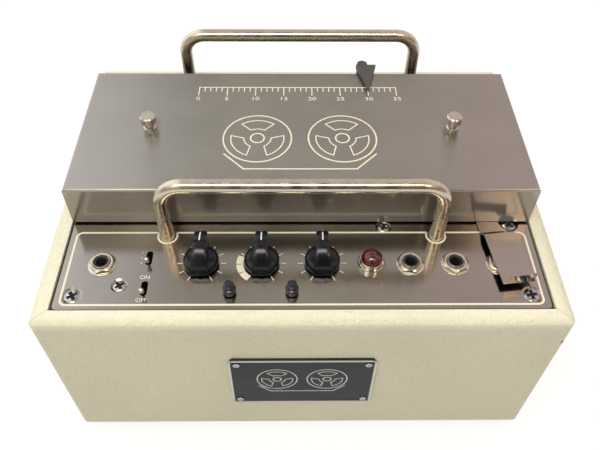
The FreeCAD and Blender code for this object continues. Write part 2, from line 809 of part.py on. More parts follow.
def handle(label, row):
    """A rod bent into a bow, tapped at both feet."""
    bar_height = f"({DECK_TOP} + handle_rise)"
    bend_height = f"({bar_height} - handle_bend)"
    bend_x = "(handle_half_span - handle_bend)"
    parts = [rod(f"{label}_bar", (f"-{bend_x}", row, bar_height), "handle_rod",
                 f"2 * {bend_x}", SIDEWAYS)]
    for side, swing in ((1, 0), (-1, 180)):
        parts.append(rod(f"{label}_leg_{swing}", (f"{side} * handle_half_span", row, DECK_TOP),
                         "handle_rod", f"{bend_height} - {DECK_TOP}"))
        bend = bind(doc.addObject("Part::Torus", f"{label}_bend_{swing}"),
                    Radius1="handle_bend", Radius2="handle_rod")
        bend.Angle3 = 90
        parts.append(place(bend, (f"{side} * {bend_x}", row, bend_height),
                           Rotation(UP, swing) * Rotation(RIGHT, 90)))
    taps = [rod(f"{label}_tap_{side}", (f"{side} * handle_half_span", row, f"{DECK_TOP} - 1"),
                "handle_screw_radius + screw_fit / 2", "handle_screw_grip + 2")
            for side in (-1, 1)]
    piece(label, cut(f"{label}_cut", fuse(f"{label}_rod", *parts), *taps))


def handle_screws():
    """Four cap screws that come up through the deck into the handles."""
    screws = []
    for k, (x, y) in enumerate(HANDLE_SPOTS):
        head = rod(f"cap_{k}", (x, y, f"{DECK_BASE} - handle_screw_head_height"),
                   "handle_screw_head", "handle_screw_head_height")
        stem = rod(f"cap_stem_{k}", (x, y, DECK_BASE), "handle_screw_radius",
                   "deck_sheet + handle_screw_grip")
        screws.append(fuse(f"cap_screw_{k}", head, stem))
    piece("handle_screws", group("cap_screws", screws))


def socket(label, x):
    """A phone socket under the deck: round body, threaded bushing and a blind plug bore."""
    spot = (x, "socket_row", f"{DECK_BASE} - socket_body_depth")
    shell = rod(f"{label}_shell", spot, "socket_body", "socket_body_depth")
    bushing = rod(f"{label}_bushing", (x, "socket_row", f"{DECK_BASE} - 1"), "bushing_radius",
                  "1 + deck_sheet + bushing_rise")
    bore = rod(f"{label}_bore", (x, "socket_row", f"{DECK_TOP} + bushing_rise - plug_depth"),
               "plug_bore", "plug_depth + 1")
    piece(label, cut(f"{label}_cut", fuse(f"{label}_blank", shell, bushing), bore))


def panel_nuts():
    """Seven identical hexagon nuts, on the four sockets and the three volume controls."""
    nuts = []
    spots = [(x, "socket_row") for x in SOCKET_XS] + [(x, "knob_row") for x in KNOB_XS]
    for k, (x, y) in enumerate(spots):
        body = new_body(f"nut_{k}", (x, y, DECK_TOP))
        outline = hexagon("0", "0", "nut_flats")
        hole = [("0", "0", "bushing_radius + bushing_fit / 3")]
        pad(body, sketch(body, f"nut_{k}_face", "XY_Plane", [outline], hole), "nut_height")
        nuts.append(body)
    piece("panel_nuts", group("nuts", nuts))


def potentiometers():
    """Five rotary controls under the deck, each with a bushing and a bore for its shaft."""
    pots = []
    kinds = [(x, "knob_row", "bushing_radius", "bushing_rise", "shaft_radius") for x in KNOB_XS]
    kinds += [(x, "trim_row", "trim_bushing_radius", "0", "trim_shaft_radius") for x in TRIM_XS]
    for k, (x, y, bushing, rise, shaft) in enumerate(kinds):
        can = rod(f"pot_can_{k}", (x, y, f"{DECK_BASE} - pot_depth"), "pot_radius", "pot_depth")
        neck = rod(f"pot_neck_{k}", (x, y, f"{DECK_BASE} - 1"), bushing,
                   f"1 + deck_sheet + {rise}")
        bore = rod(f"pot_bore_{k}", (x, y, f"{DECK_BASE} - pot_depth + 1"),
                   f"{shaft} + shaft_fit", "pot_depth + deck_sheet + bushing_rise + 1")
        pots.append(cut(f"pot_{k}", fuse(f"pot_blank_{k}", can, neck), bore))
    piece("potentiometers", group("pots", pots))


def pointer_knob(label, x):
    """A pointer knob: round skirt, ridge with an overhanging nose, and the shaft it is pressed on."""
    base = f"({DECK_TOP} + knob_gap)"
    body = new_body(f"{label}_moulding", (x, "knob_row", base))
    skirt = [("0", "0"), ("knob_radius", "0"), ("knob_radius", "knob_skirt * 0.45"),
             ("knob_radius - 0.9", "knob_skirt"), ("0", "knob_skirt * 1.25")]
    revolve(body, sketch(body, f"{label}_skirt", "XZ_Plane", [skirt]))
    ridge = [
        ("-knob_radius * 0.93", "0"),
        ("-knob_radius * 0.93", "knob_height * 0.22"),
        ("-knob_radius * 0.62", "knob_height * 0.62"),
        ("-knob_radius * 0.12", "knob_height * 0.93"),
        ("knob_radius * 0.45", "knob_height"),
        ("knob_reach - 0.9", "knob_height * 0.93"),
        ("knob_reach", "knob_height * 0.8"),
        ("knob_radius * 1.05", "knob_height * 0.36"),
        ("knob_radius * 0.7", "0"),
    ]
    pad(body, sketch(body, f"{label}_ridge", "YZ_Plane", [ridge]), "knob_body_width",
        midplane=True)
    recess = sketch(body, f"{label}_recess", "XY_Plane", circles=[("0", "0", "knob_recess_radius")])
    pocket(body, recess, "knob_recess_depth", backwards=True)
    bore = sketch(body, f"{label}_bore", "XY_Plane", circles=[("0", "0", "shaft_radius")])
    pocket(body, bore, "shaft_rise - knob_gap", backwards=True)
    shaft = rod(f"{label}_shaft", (x, "knob_row", f"{DECK_BASE} - pot_depth + 2"), "shaft_radius",
                f"{DECK_TOP} - {DECK_BASE} + pot_depth - 2 + shaft_rise")
    piece(label, group(f"{label}_set", [body, shaft]))


def trim_knob(label, x):
    """A small stepped push-on knob with the shaft it is pressed on."""
    base = f"({DECK_TOP} + knob_gap)"
    hole_top = "trim_knob_height * 0.6"
    profile = [
        ("trim_shaft_radius", "0"),
        ("trim_knob_radius", "0"),
        ("trim_knob_radius", "trim_knob_step * 0.85"),
        ("trim_knob_radius - 0.5", "trim_knob_step"),
        ("trim_knob_neck", "trim_knob_step * 1.1"),
        ("trim_knob_neck", "trim_knob_height - 0.7"),
        ("trim_knob_neck - 0.7", "trim_knob_height"),
        ("0", "trim_knob_height"),
        ("0", hole_top),
        ("trim_shaft_radius", hole_top),
    ]
    knob = turned(f"{label}_moulding", profile, (x, "trim_row", base))
    shaft = rod(f"{label}_shaft", (x, "trim_row", f"{DECK_BASE} - pot_depth + 2"),
                "trim_shaft_radius",
                f"{DECK_TOP} - {DECK_BASE} + pot_depth - 2 + knob_gap + {hole_top}")
    piece(label, group(f"{label}_set", [knob, shaft]))


def toggle_switches():
    """Two slide-action toggle bodies under the deck, hollow round their levers."""
    bodies = []
    for k, row in enumerate(SWITCH_ROWS):
        spot = ("switch_x", row, f"{DECK_BASE} - switch_body_depth")
        shell = block(f"toggle_shell_{k}", spot, "switch_body_width", "switch_body_length",
                      "switch_body_depth")
        hollow = block(f"toggle_hollow_{k}",
                       ("switch_x", row, f"{DECK_TOP} - switch_pivot_drop - switch_tip_radius - 1"),
                       "slot_width + 1.5", "slot_length + 1.5", "switch_body_depth")
        bodies.append(cut(f"toggle_{k}", shell, hollow))
    piece("toggle_switches", group("toggles", bodies))


def switch_lever(label, row):
    """A ball-ended lever, leaning towards the player."""
    stem = rod(f"{label}_stem", ("0", "0", "0"), "switch_lever_radius", "switch_lever_length")
    tip = ball(f"{label}_tip", ("0", "0", "switch_lever_length"), "switch_tip_radius")
    hub = rod(f"{label}_hub", ("-slot_width * 0.45", "0", "0"), "switch_tip_radius",
              "slot_width * 0.9", SIDEWAYS)
    lever = fuse(f"{label}_lever", stem, tip, hub)
    lean = Rotation(RIGHT, value("switch_tilt"))
    place(lever, ("switch_x", row, f"{DECK_TOP} - switch_pivot_drop"), lean)
    lever.setExpression(".Placement.Rotation.Angle", full("switch_tilt * 1 deg"))
    piece(label, lever)


def pilot_lamp():
    """The lamp: a turned bezel through the deck, and a domed jewel seated in it."""
    bezel = [
        ("lamp_bore", "-lamp_bush_depth"),
        ("lamp_bush", "-lamp_bush_depth"),
        ("lamp_bush", "0"),
        ("lamp_flange", "0"),
        ("lamp_flange", "lamp_flange_height * 0.7"),
        ("lamp_flange - 0.5", "lamp_flange_height"),
        ("lamp_collar", "lamp_flange_height"),
        ("lamp_collar", "lamp_collar_height - 0.5"),
        ("lamp_collar - 0.5", "lamp_collar_height"),
        ("lamp_bore", "lamp_collar_height"),
    ]
    piece("lamp_bezel", turned("bezel", bezel, ("lamp_x", "lamp_row", DECK_TOP)))
    jewel = [
        ("0", "-lamp_collar_height / 2"),
        ("lamp_bore", "-lamp_collar_height / 2"),
        ("lamp_bore", "0"),
        ("jewel_radius", "0"),
        ("jewel_radius", "jewel_height * 0.35"),
        ("jewel_radius * 0.8", "jewel_height * 0.72"),
        ("jewel_radius * 0.45", "jewel_height * 0.95"),
        ("0", "jewel_height"),
    ]
    spot = ("lamp_x", "lamp_row", f"{DECK_TOP} + lamp_collar_height")
    piece("lamp_jewel", turned("jewel", jewel, spot))


def top_cover():
    """The folded lid: a top, three full walls that clear the pinch lever, and a shallow rear
    wall over the carriage arm."""
    middle = "(cover_front + cover_rear) / 2"
    body = new_body("cover", ("0", middle, COVER_BASE))
    depth = "cover_rear - cover_front"
    pad(body, sketch(body, "cover_outline", "XY_Plane", [rectangle("0", "0", "cover_width", depth)]),
        "cover_height")
    soften(body, "cover_folds", "cover_fold", level_edge("cover_height"))
    inside = rectangle("0", "0", "cover_width - 2 * cover_sheet", f"{depth} - 2 * cover_sheet")
    pocket(body, sketch(body, "cover_hollow", "XY_Plane", [inside]),
           "cover_height - cover_sheet", backwards=True)
    rear_gap = block("cover_rear_gap", ("0", "cover_rear", f"{COVER_BASE} - 1"),
                     "cover_width - 2 * cover_sheet", "cover_sheet * 4",
                     "cover_height - cover_rear_lip + 1")
    holes = [rod(f"cover_hole_{side}", (f"{side} * thumb_x", "thumb_y", f"{COVER_TOP} - 4"),
                 "thumb_thread + screw_fit * 2", "8") for side in (-1, 1)]
    piece("top_cover", cut("cover_cut", body, rear_gap, *holes))


def cover_posts():
    """Two tapped pillars on the deck that the cover rests on."""
    posts = []
    for side in (-1, 1):
        x = f"{side} * thumb_x"
        height = f"{COVER_GAP} + cover_height - cover_sheet - seat_gap"
        pillar = rod(f"pillar_{side}", (x, "thumb_y", DECK_TOP), "post_radius", height)
        tap = rod(f"tap_{side}", (x, "thumb_y", f"{COVER_TOP} - thumb_reach - 2"),
                  "thumb_thread + thumb_fit", "thumb_reach + 2")
        posts.append(cut(f"post_{side}", pillar, tap))
    piece("cover_posts", group("posts", posts))


def thumb_screw(label, side):
    """A round-headed thumb screw: head, neck, flange and thread."""
    profile = [
        ("0", "-thumb_reach"),
        ("thumb_thread", "-thumb_reach"),
        ("thumb_thread", "0"),
        ("thumb_flange", "0"),
        ("thumb_flange", "thumb_flange_height"),
        ("thumb_neck", "thumb_flange_height + 0.4"),
        ("thumb_neck", "thumb_height - thumb_head_height - 0.6"),
        ("thumb_head", "thumb_height - thumb_head_height"),
        ("thumb_head", "thumb_height - 0.7"),
        ("thumb_head - 0.7", "thumb_height"),
        ("0", "thumb_height"),
    ]
    spot = (f"{side} * thumb_x", "thumb_y", f"{COVER_TOP} + seat_gap / 2")
    piece(label, turned(f"{label}_turning", profile, spot))


def capstan_drive():
    """Capstan shaft in its bearing, with the flywheel under the deck."""
    spot = lambda z: ("capstan_x", "capstan_y", z)
    wheel_top = f"({DECK_BASE} - flywheel_drop)"
    hub_gap = "(flywheel_drop - bearing_length)"
    shaft_base = f"({wheel_top} - flywheel_height - 3)"
    piece("capstan_shaft", rod("capstan", spot(shaft_base), "capstan_radius",
                               f"{DECK_TOP} + capstan_rise - {shaft_base}"))
    rim = rod("wheel_rim", spot(f"{wheel_top} - flywheel_height"), "flywheel_radius",
              "flywheel_height")
    hub = rod("wheel_hub", spot(f"{wheel_top} - 1"), "flywheel_hub", f"{hub_gap} * 0.6 + 1")
    bore = rod("wheel_bore", spot(f"{wheel_top} - flywheel_height - 1"), "capstan_radius",
               f"flywheel_height + {hub_gap} + 2")
    piece("flywheel", cut("wheel_cut", fuse("wheel_blank", rim, hub), bore))
    sleeve = rod("bearing_sleeve", spot(f"{DECK_BASE} - bearing_length"), "bearing_radius",
                 "bearing_length")
    flange = rod("bearing_plate", spot(f"{DECK_BASE} - bearing_flange_height"), "bearing_flange",
                 "bearing_flange_height")
    bush = rod("bearing_bore", spot(f"{DECK_BASE} - bearing_length - 1"),
               "capstan_radius + shaft_fit", "bearing_length + 2")
    piece("capstan_bearing", cut("bearing_cut", fuse("bearing_blank", sleeve, flange), bush))


def motor_drive():
    """The motor under the deck: a can with the rotor in it, and the pulley on the rotor's shaft."""
    spot = lambda z: ("motor_x", "motor_y", z)
    motor_base = f"({DECK_BASE} - motor_length)"
    pulley_base = f"({DECK_BASE} - flywheel_drop - flywheel_height / 2 - pulley_height / 2)"
    can = rod("motor_can", spot(motor_base), "motor_radius", "motor_length")
    cavity = rod("motor_cavity", spot(f"{motor_base} + motor_wall"), "motor_radius - motor_wall",
                 "motor_length - 2 * motor_wall")
    bore = rod("motor_bore", spot(f"{motor_base} - 1"), "motor_shaft_radius + motor_shaft_fit",
               "motor_wall + 2")
    piece("drive_motor", cut("motor_cut", can, cavity, bore))
    wheel = rod("pulley_wheel", spot(pulley_base), "pulley_radius", "pulley_height")
    hole = rod("pulley_hole", spot(f"{pulley_base} - 1"), "motor_shaft_radius", "pulley_height + 2")
    spindle = rod("motor_spindle", spot(f"{pulley_base} - 1"), "motor_shaft_radius",
                  f"{motor_base} - {pulley_base} + motor_length / 2")
    inset = "(motor_wall + rotor_gap)"
    core = rod("rotor_core", spot(f"{motor_base} + {inset}"), f"motor_radius - {inset}",
               f"motor_length - 2 * {inset}")
    piece("motor_pulley", group("pulley_set", [cut("pulley_cut", wheel, hole),
                                               fuse("rotor", spindle, core)]))


def round_belt_outline(big, small, wheel, pulley):
    """The closed wire of a belt round two circles: two tangent lines and two arcs."""
    along = pulley - wheel
    lean = math.acos((big - small) / along.Length)
    heading = math.atan2(along.y, along.x)
    def spoke(centre, radius, angle):
        return centre + Vector(math.cos(angle), math.sin(angle), 0) * radius
    above, below = heading + lean, heading - lean
    wheel_above, wheel_below = spoke(wheel, big, above), spoke(wheel, big, below)
    pulley_above, pulley_below = spoke(pulley, small, above), spoke(pulley, small, below)
    return Part.Wire([
        Part.LineSegment(wheel_above, pulley_above).toShape(),
        Part.Arc(pulley_above, spoke(pulley, small, heading), pulley_below).toShape(),
        Part.LineSegment(pulley_below, wheel_below).toShape(),
        Part.Arc(wheel_below, spoke(wheel, big, heading + math.pi), wheel_above).toShape(),
    ])


def drive_belt():
    """The flat belt from the pulley to the flywheel."""
    wheel = Vector(value("capstan_x"), value("capstan_y"), 0)
    pulley = Vector(value("motor_x"), value("motor_y"), 0)
    gap, thickness = value("belt_gap"), value("belt_thickness")
    big, small = value("flywheel_radius") + gap, value("pulley_radius") + gap
    outer = Part.Face(round_belt_outline(big + thickness, small + thickness, wheel, pulley))
    inner = Part.Face(round_belt_outline(big, small, wheel, pulley))
    width = value("belt_width")
    belt = doc.addObject("Part::Feature", "belt")
    belt.Shape = outer.cut(inner).extrude(UP * width)
    base = value(f"{DECK_BASE} - flywheel_drop - flywheel_height / 2") - width / 2
    belt.Placement = Placement(Vector(0, 0, base), Rotation())
    piece("drive_belt", belt)


def tape_loop():
    """The tape: a closed ribbon round both guides, and the wound pack in the cartridge."""
    turn_radius = "(guide_radius + tape_gap + tape_thickness / 2)"
    row = f"({TAPE_LINE} - {turn_radius})"
    ends = {"left": "left_guide_x", "right": "right_guide_x"}
    def ring(grow):
        radius = f"({turn_radius} + {grow} * tape_thickness / 2)"
        discs = [rod(f"ribbon_{end}_{grow}", (x, row, TAPE_BASE), radius, "tape_height")
                 for end, x in ends.items()]
        middle = "((left_guide_x + right_guide_x) / 2)"
        web = block(f"ribbon_web_{grow}", (middle, row, TAPE_BASE),
                    "right_guide_x - left_guide_x", f"2 * {radius}", "tape_height")
        return fuse(f"ribbon_fill_{grow}", *discs, web)
    ribbon = cut("ribbon", ring("1"), ring("-1"))
    pack_y = f"{row} - {turn_radius} - tape_thickness - pack_radius"
    winding = rod("winding", ("pack_x", pack_y, TAPE_BASE), "pack_radius", "tape_height")
    core = rod("winding_core", ("pack_x", pack_y, f"{TAPE_BASE} - 1"), "pack_bore",
               "tape_height + 2")
    piece("tape_loop", group("tape", [ribbon, cut("pack", winding, core)]))
    guides = [rod(f"guide_{end}", (x, row, DECK_TOP), "guide_radius", "guide_rise")
              for end, x in ends.items()]
    piece("tape_guides", group("guides", guides))


def cartridge():
    """The tray that holds the tape pack, and its lid."""
    middle_x, middle_y = "(tray_left + tray_right) / 2", "(tray_front + tray_rear) / 2"
    length, width = "tray_right - tray_left", "tray_rear - tray_front"
    body = new_body("tray", (middle_x, middle_y, DECK_TOP))
    pad(body, sketch(body, "tray_outline", "XY_Plane", [rectangle("0", "0", length, width)]),
        "tray_height")
    soften(body, "tray_corners", "tray_wall", upright_edge)
    inside = rectangle("0", "0", f"{length} - 2 * tray_wall", f"{width} - 2 * tray_wall")
    pocket(body, sketch(body, "tray_hollow", "XY_Plane", [inside], raise_by="tray_height"),
           "tray_height - tray_wall")
    row = f"({TAPE_LINE} - 2 * guide_radius - 2 * tape_gap - tape_thickness)"
    slot = block("tape_slot", (middle_x, row, f"{TAPE_BASE} - 1.5"), f"{length} + 4", "3",
                 "tape_height + 3")
    piece("cartridge_tray", cut("tray_cut", body, slot))
    lid_body = new_body("lid", (middle_x, middle_y, f"{DECK_TOP} + tray_height"))
    outline = rectangle("0", "0", f"{length} + 2 * lid_overlap", f"{width} + 2 * lid_overlap")
    pad(lid_body, sketch(lid_body, "lid_outline", "XY_Plane", [outline]), "lid_sheet")
    soften(lid_body, "lid_corners", "tray_wall", upright_edge)
    piece("cartridge_lid", lid_body)


def tape_head(label, x, rise, foot):
    """A tape head: a block with a narrow polished nose towards the tape, on a foot if it has one."""
    body = new_body(f"{label}_can", (x, HEAD_FACE, f"{DECK_TOP} + {rise}"))
    outline = [
        ("-head_nose / 2", "0"), ("head_nose / 2", "0"), ("head_width / 2", "head_slope"),
        ("head_width / 2", "head_depth"), ("-head_width / 2", "head_depth"),
        ("-head_width / 2", "head_slope"),
    ]
    pad(body, sketch(body, f"{label}_outline", "XY_Plane", [outline]), "head_height")
    if not foot:
        return piece(label, body)
    shoe = block(f"{label}_shoe", (x, f"{HEAD_FACE} + head_depth * 0.6", DECK_TOP),
                 "head_width * 0.8", "head_depth * 0.6", f"{rise} + 1")
    return piece(label, fuse(f"{label}_on_foot", body, shoe))


def rails():
    """Two guide rails between end blocks."""
    bars, holes = [], []
    for name, y in (("front", "rail_front"), ("rear", "rail_rear")):
        spot = ("rail_left", y, f"{DECK_TOP} + rail_rise")
        bars.append(rod(f"rail_{name}", spot, "rail_radius", "rail_right - rail_left", SIDEWAYS))
        holes.append(rod(f"rail_hole_{name}", ("rail_left - 1", y, f"{DECK_TOP} + rail_rise"),
                         "rail_radius + rail_seat_fit", "rail_right - rail_left + 2", SIDEWAYS))
    piece("head_rails", group("rail_pair", bars))
    width = "rail_rear - rail_front + 2 * rail_block_margin"
    ends = [
        block(f"rail_end_{name}", (x, "(rail_front + rail_rear) / 2", DECK_TOP), "rail_block",
              width, "rail_block_height")
        for name, x in (("left", "(rail_left + rail_block / 2)"),
                        ("right", "(rail_right - rail_block / 2)"))
    ]
    drilled = [cut(f"{end.Name}_drilled", end, fuse(f"{end.Name}_holes", *holes)) for end in ends]
    piece("rail_blocks", group("rail_ends", drilled))


def head_carriage():
    """The carriage: a block on both rails, an arm over the moving head and a post for the pointer."""
    x, middle = "pointer_post_x", "(rail_front + rail_rear) / 2"
    width = "(rail_rear - rail_front + 2 * rail_block_margin)"
    base, top = f"({DECK_TOP} + carriage_rise)", f"({DECK_TOP} + carriage_rise + carriage_height)"
    hull = block("carriage_hull", (x, middle, base), "carriage_length", width, "carriage_height")
    front_edge = f"({middle} - {width} / 2)"
    reach = f"({front_edge} - {HEAD_FACE} - head_slope)"
    front_base = f"({DECK_TOP} + head_rise + head_height)"
    front_arm = block("carriage_front_arm",
                      (f"{x} + playback_offset", f"{front_edge} - {reach} / 2 + 1", front_base),
                      "carriage_arm_width", f"{reach} + 2", f"{top} - {front_base}")
    rear_edge = f"({middle} + {width} / 2)"
    rear_reach = f"(pointer_post_y + pointer_hub_radius - {rear_edge})"
    rear_arm = block("carriage_rear_arm", (x, f"{rear_edge} + {rear_reach} / 2 - 1", base),
                     "carriage_arm_width", f"{rear_reach} + 2", "carriage_arm_sheet")
    post = rod("carriage_post", (x, "pointer_post_y", base), "pointer_post_radius",
               f"{COVER_TOP} + pointer_clearance - {base}")
    bores = [rod(f"carriage_bore_{name}", (f"{x} - carriage_length", y, f"{DECK_TOP} + rail_rise"),
                 "rail_radius + rail_fit", "2 * carriage_length", SIDEWAYS)
             for name, y in (("front", "rail_front"), ("rear", "rail_rear"))]
    blank = fuse("carriage_blank", hull, front_arm, rear_arm, post)
    piece("head_carriage", cut("carriage_cut", blank, *bores))


def delay_pointer():
    """The arrow over the scale, with a hub that pushes onto the carriage post."""
    base = f"({COVER_TOP} + pointer_clearance)"
    body = new_body("arrow", ("pointer_post_x + pointer_tip_offset", "0", base))
    outline = [("0", "pointer_tip_y"), ("pointer_half_width", "pointer_back"),
               ("-pointer_half_width", "pointer_back")]
    pad(body, sketch(body, "arrow_outline", "XY_Plane", [outline]), "pointer_thickness")
    top = f"({base} + pointer_thickness)"
    hub = rod("pointer_hub", ("pointer_post_x", "pointer_post_y", f"{top} - pointer_hub_height"),
              "pointer_hub_radius", "pointer_hub_height")
    bore = rod("pointer_bore",
               ("pointer_post_x", "pointer_post_y", f"{top} - pointer_hub_height - 1"),
               "pointer_post_radius + pointer_post_fit",
               "pointer_hub_height + 1.2 - pointer_thickness")
    piece("delay_pointer", cut("pointer_cut", fuse("pointer_blank", body, hub), bore))


def pinch_lever():
    """The pinch lever: a bent strip with a finger lip, a boss on the pivot and an arm with a pin."""
    low = f"({DECK_TOP} + lever_lift)"
    rise, sheet_size = "lever_ramp_rise", "lever_sheet"
    body = new_body("lever_plate")
    profile = [
        ("-lever_wide_start", low),
        ("-lever_ramp_start", low),
        ("-lever_ramp_end", f"{low} + {rise}"),
        ("-lever_length", f"{low} + {rise}"),
        ("-lever_length", f"{low} + {rise} + {sheet_size}"),
        ("-lever_ramp_end + lever_sheet / 2", f"{low} + {rise} + {sheet_size}"),
        ("-lever_ramp_start + lever_sheet / 2", f"{low} + {sheet_size}"),
        ("-lever_wide_start", f"{low} + {sheet_size}"),
    ]
    pad(body, sketch(body, "lever_profile", "YZ_Plane", [profile]), "lever_plate_width",
        midplane=True)
    strip = block("lever_strip", ("0", "-lever_wide_start / 2 - 1", low), "lever_strip_width",
                  "lever_wide_start + 2", sheet_size)
    relief = block("lever_relief_cut", ("lever_plate_width / 2",
                                        "-(lever_wide_start + lever_ramp_start) / 2",
                                        f"{low} - {sheet_size}"),
                   "lever_relief * 2", "lever_ramp_start - lever_wide_start", f"{sheet_size} * 3")
    lip = block("lever_lip", ("lever_lip_shift", f"-lever_length + {sheet_size} / 2", f"{low} + {rise}"),
                "lever_lip_width", sheet_size, "lever_lip_height")
    boss = rod("lever_boss", ("0", "0", low), "lever_boss", "lever_boss_height")
    arm_length = f"sqrt({ROLLER_DX} ^ 2 + {ROLLER_DY} ^ 2)"
    arm_angle = f"(atan2({ROLLER_DY}; {ROLLER_DX}) / 1 deg - lever_rest - lever_swing)"
    arm = bind(doc.addObject("Part::Box", "lever_arm_bar"), Length=arm_length,
               Width="lever_strip_width", Height=sheet_size)
    place(arm, (f"lever_strip_width / 2 * sin({arm_angle})",
                f"-lever_strip_width / 2 * cos({arm_angle})", low), angle=arm_angle)
    arm_end = (f"{arm_length} * cos({arm_angle})", f"{arm_length} * sin({arm_angle})")
    eye = rod("lever_eye", (*arm_end, low), "lever_strip_width / 2", sheet_size)
    pin = rod("lever_pin", (*arm_end, low), "roller_pin",
              f"{sheet_size} + roller_lift + roller_height + 1")
    bore = rod("lever_bore", ("0", "0", f"{low} - 1"), "pivot_pin + pivot_fit",
               "lever_boss_height + 2")
    plate = cut("lever_relieved", body, relief)
    blank = fuse("lever_blank", plate, strip, lip, boss, arm, eye, pin)
    lever = cut("lever_cut", blank, bore)
    piece("pinch_lever", place(lever, ("lever_pivot_x", "lever_pivot_y", "0"), angle="lever_rest"))
    roller_spot = (*arm_end, f"{low} + {sheet_size} + roller_lift")
    tyre = rod("roller_tyre", roller_spot, "roller_radius", "roller_height")
    hole = rod("roller_hole", (*arm_end, low), "roller_pin + roller_fit", "roller_height * 2")
    roller = cut("roller_cut", tyre, hole)
    piece("pinch_roller",
          place(roller, ("lever_pivot_x", "lever_pivot_y", "0"), angle="lever_rest"))
    pin_top = f"({low} + lever_boss_height + lever_lift)"
    spot = lambda z: ("lever_pivot_x", "lever_pivot_y", z)
    column = rod("pivot_column", spot(DECK_TOP), "pivot_pin", f"{pin_top} - {DECK_TOP} + 0.5")
    cap = rod("pivot_head", spot(pin_top), "pivot_cap", "pivot_cap_height")
    piece("lever_pivot_post", fuse("pivot_post", column, cap))


def electronics():
    """The amplifier board on its standoffs, with valves, sockets and filter capacitors."""
    x_middle, y_middle = "(board_left + board_right) / 2", "(board_front + board_rear) / 2"
    length, width = "board_right - board_left", "board_rear - board_front"
    piece("amp_board", block("board", (x_middle, y_middle, BOARD_BASE), length, width,
                             "board_sheet"))
    corners = [(x, y) for x in ("board_left + standoff_inset", "board_right - standoff_inset")
               for y in ("board_front + standoff_inset", "board_rear - standoff_inset")]
    legs = [rod(f"standoff_{k}", (x, y, FLOOR_TOP), "standoff_radius", "board_rise")
            for k, (x, y) in enumerate(corners)]
    piece("board_standoffs", group("standoffs", legs))
    valve_xs = [f"(first_valve_x + {k} * valve_pitch)" for k in range(3)]
    bases = [rod(f"valve_base_{k}", (x, "valve_row", BOARD_TOP), "valve_socket_radius",
                 "valve_socket_height") for k, x in enumerate(valve_xs)]
    piece("tube_sockets", group("valve_bases", bases))
    seat = f"{BOARD_TOP} + valve_socket_height"
    valves = []
    for k, x in enumerate(valve_xs):
        glass = rod(f"valve_glass_{k}", (x, "valve_row", seat), "valve_radius",
                    "valve_height - valve_radius")
        dome = ball(f"valve_dome_{k}", (x, "valve_row", f"{seat} + valve_height - valve_radius"),
                    "valve_radius")
        valves.append(fuse(f"valve_{k}", glass, dome))
    piece("vacuum_tubes", group("valves", valves))
    cans = [rod(f"capacitor_{k}", (x, "capacitor_row", BOARD_TOP), "capacitor_radius",
                "capacitor_height") for k, x in enumerate(valve_xs[:2])]
    piece("filter_capacitors", group("capacitors", cans))


def power_transformer():
    """The mains transformer: a laminated core with a coil through it."""
    spot = ("transformer_x", "transformer_y", FLOOR_TOP)
    core = block("core", spot, "transformer_length", "transformer_width", "transformer_height")
    coil_base = f"{FLOOR_TOP} + (transformer_height - coil_height) / 2"
    coil = block("coil", ("transformer_x", "transformer_y", coil_base), "coil_length",
                 "coil_width", "coil_height")
    piece("power_transformer", fuse("transformer", core, coil))


def rear_plate():
    """The steel plate behind the window, with cut-outs for the mains fittings."""
    face = f"({REAR_INNER} - plate_sheet / 2)"
    sheet_block = block("rear_sheet", ("0", face, "window_base - plate_margin"),
                        "window_width + 2 * plate_margin", "plate_sheet",
                        "window_height + 2 * plate_margin")
    inlet_hole = block("inlet_hole", ("inlet_x", face, f"{WINDOW_MIDDLE} - inlet_height / 2 - 0.2"),
                       "inlet_width + 0.4", "plate_sheet * 3", "inlet_height + 0.4")
    start = f"{REAR_INNER} - plate_sheet * 2"
    round_holes = [
        rod(f"rear_hole_{name}", (x, start, WINDOW_MIDDLE), f"{radius} + bushing_fit",
            "plate_sheet * 3", BACKWARD)
        for name, x, radius in (("fuse", "fuse_x", "fuse_body"), ("power", "power_x", "power_bushing"))
    ]
    screw_holes = [rod(f"rear_clear_{k}", (x, start, z), "plate_screw_shank + screw_fit",
                       "plate_sheet * 3", BACKWARD) for k, (x, z) in enumerate(PLATE_SPOTS)]
    piece("rear_plate", cut("rear_cut", sheet_block, inlet_hole, *round_holes, *screw_holes))


def power_inlet():
    """The mains inlet: a flanged shell with three blades in its cavity."""
    base = lambda height: f"{WINDOW_MIDDLE} - ({height}) / 2"
    body_y = f"{REAR_INNER} - inlet_depth / 2"
    shell = block("inlet_shell", ("inlet_x", body_y, base("inlet_height")), "inlet_width",
                  "inlet_depth", "inlet_height")
    flange = block("inlet_flange", ("inlet_x", f"{REAR_INNER} + inlet_flange_sheet / 2",
                                    base("inlet_flange_height")),
                   "inlet_flange_width", "inlet_flange_sheet", "inlet_flange_height")
    mouth = f"({REAR_INNER} + inlet_flange_sheet)"
    cavity = block("inlet_cavity", ("inlet_x", f"{mouth} - inlet_cavity_depth / 2 + 1",
                                    base("inlet_cavity_height")),
                   "inlet_cavity_width", "inlet_cavity_depth + 2", "inlet_cavity_height")
    hollow = cut("inlet_hollow", fuse("inlet_blank", shell, flange), cavity)
    blade_y = f"{mouth} - inlet_cavity_depth + inlet_pin_length / 2 - 0.5"
    blades = [
        block(f"inlet_blade_{k}", (f"inlet_x + {k} * inlet_pin_pitch", blade_y,
                                   f"{base('inlet_pin_height')} + {lift} * inlet_pin_height"),
              "inlet_pin_width", "inlet_pin_length + 1", "inlet_pin_height")
        for k, lift in ((-1, -0.5), (0, 0.5), (1, -0.5))
    ]
    piece("power_inlet", fuse("inlet", hollow, *blades))


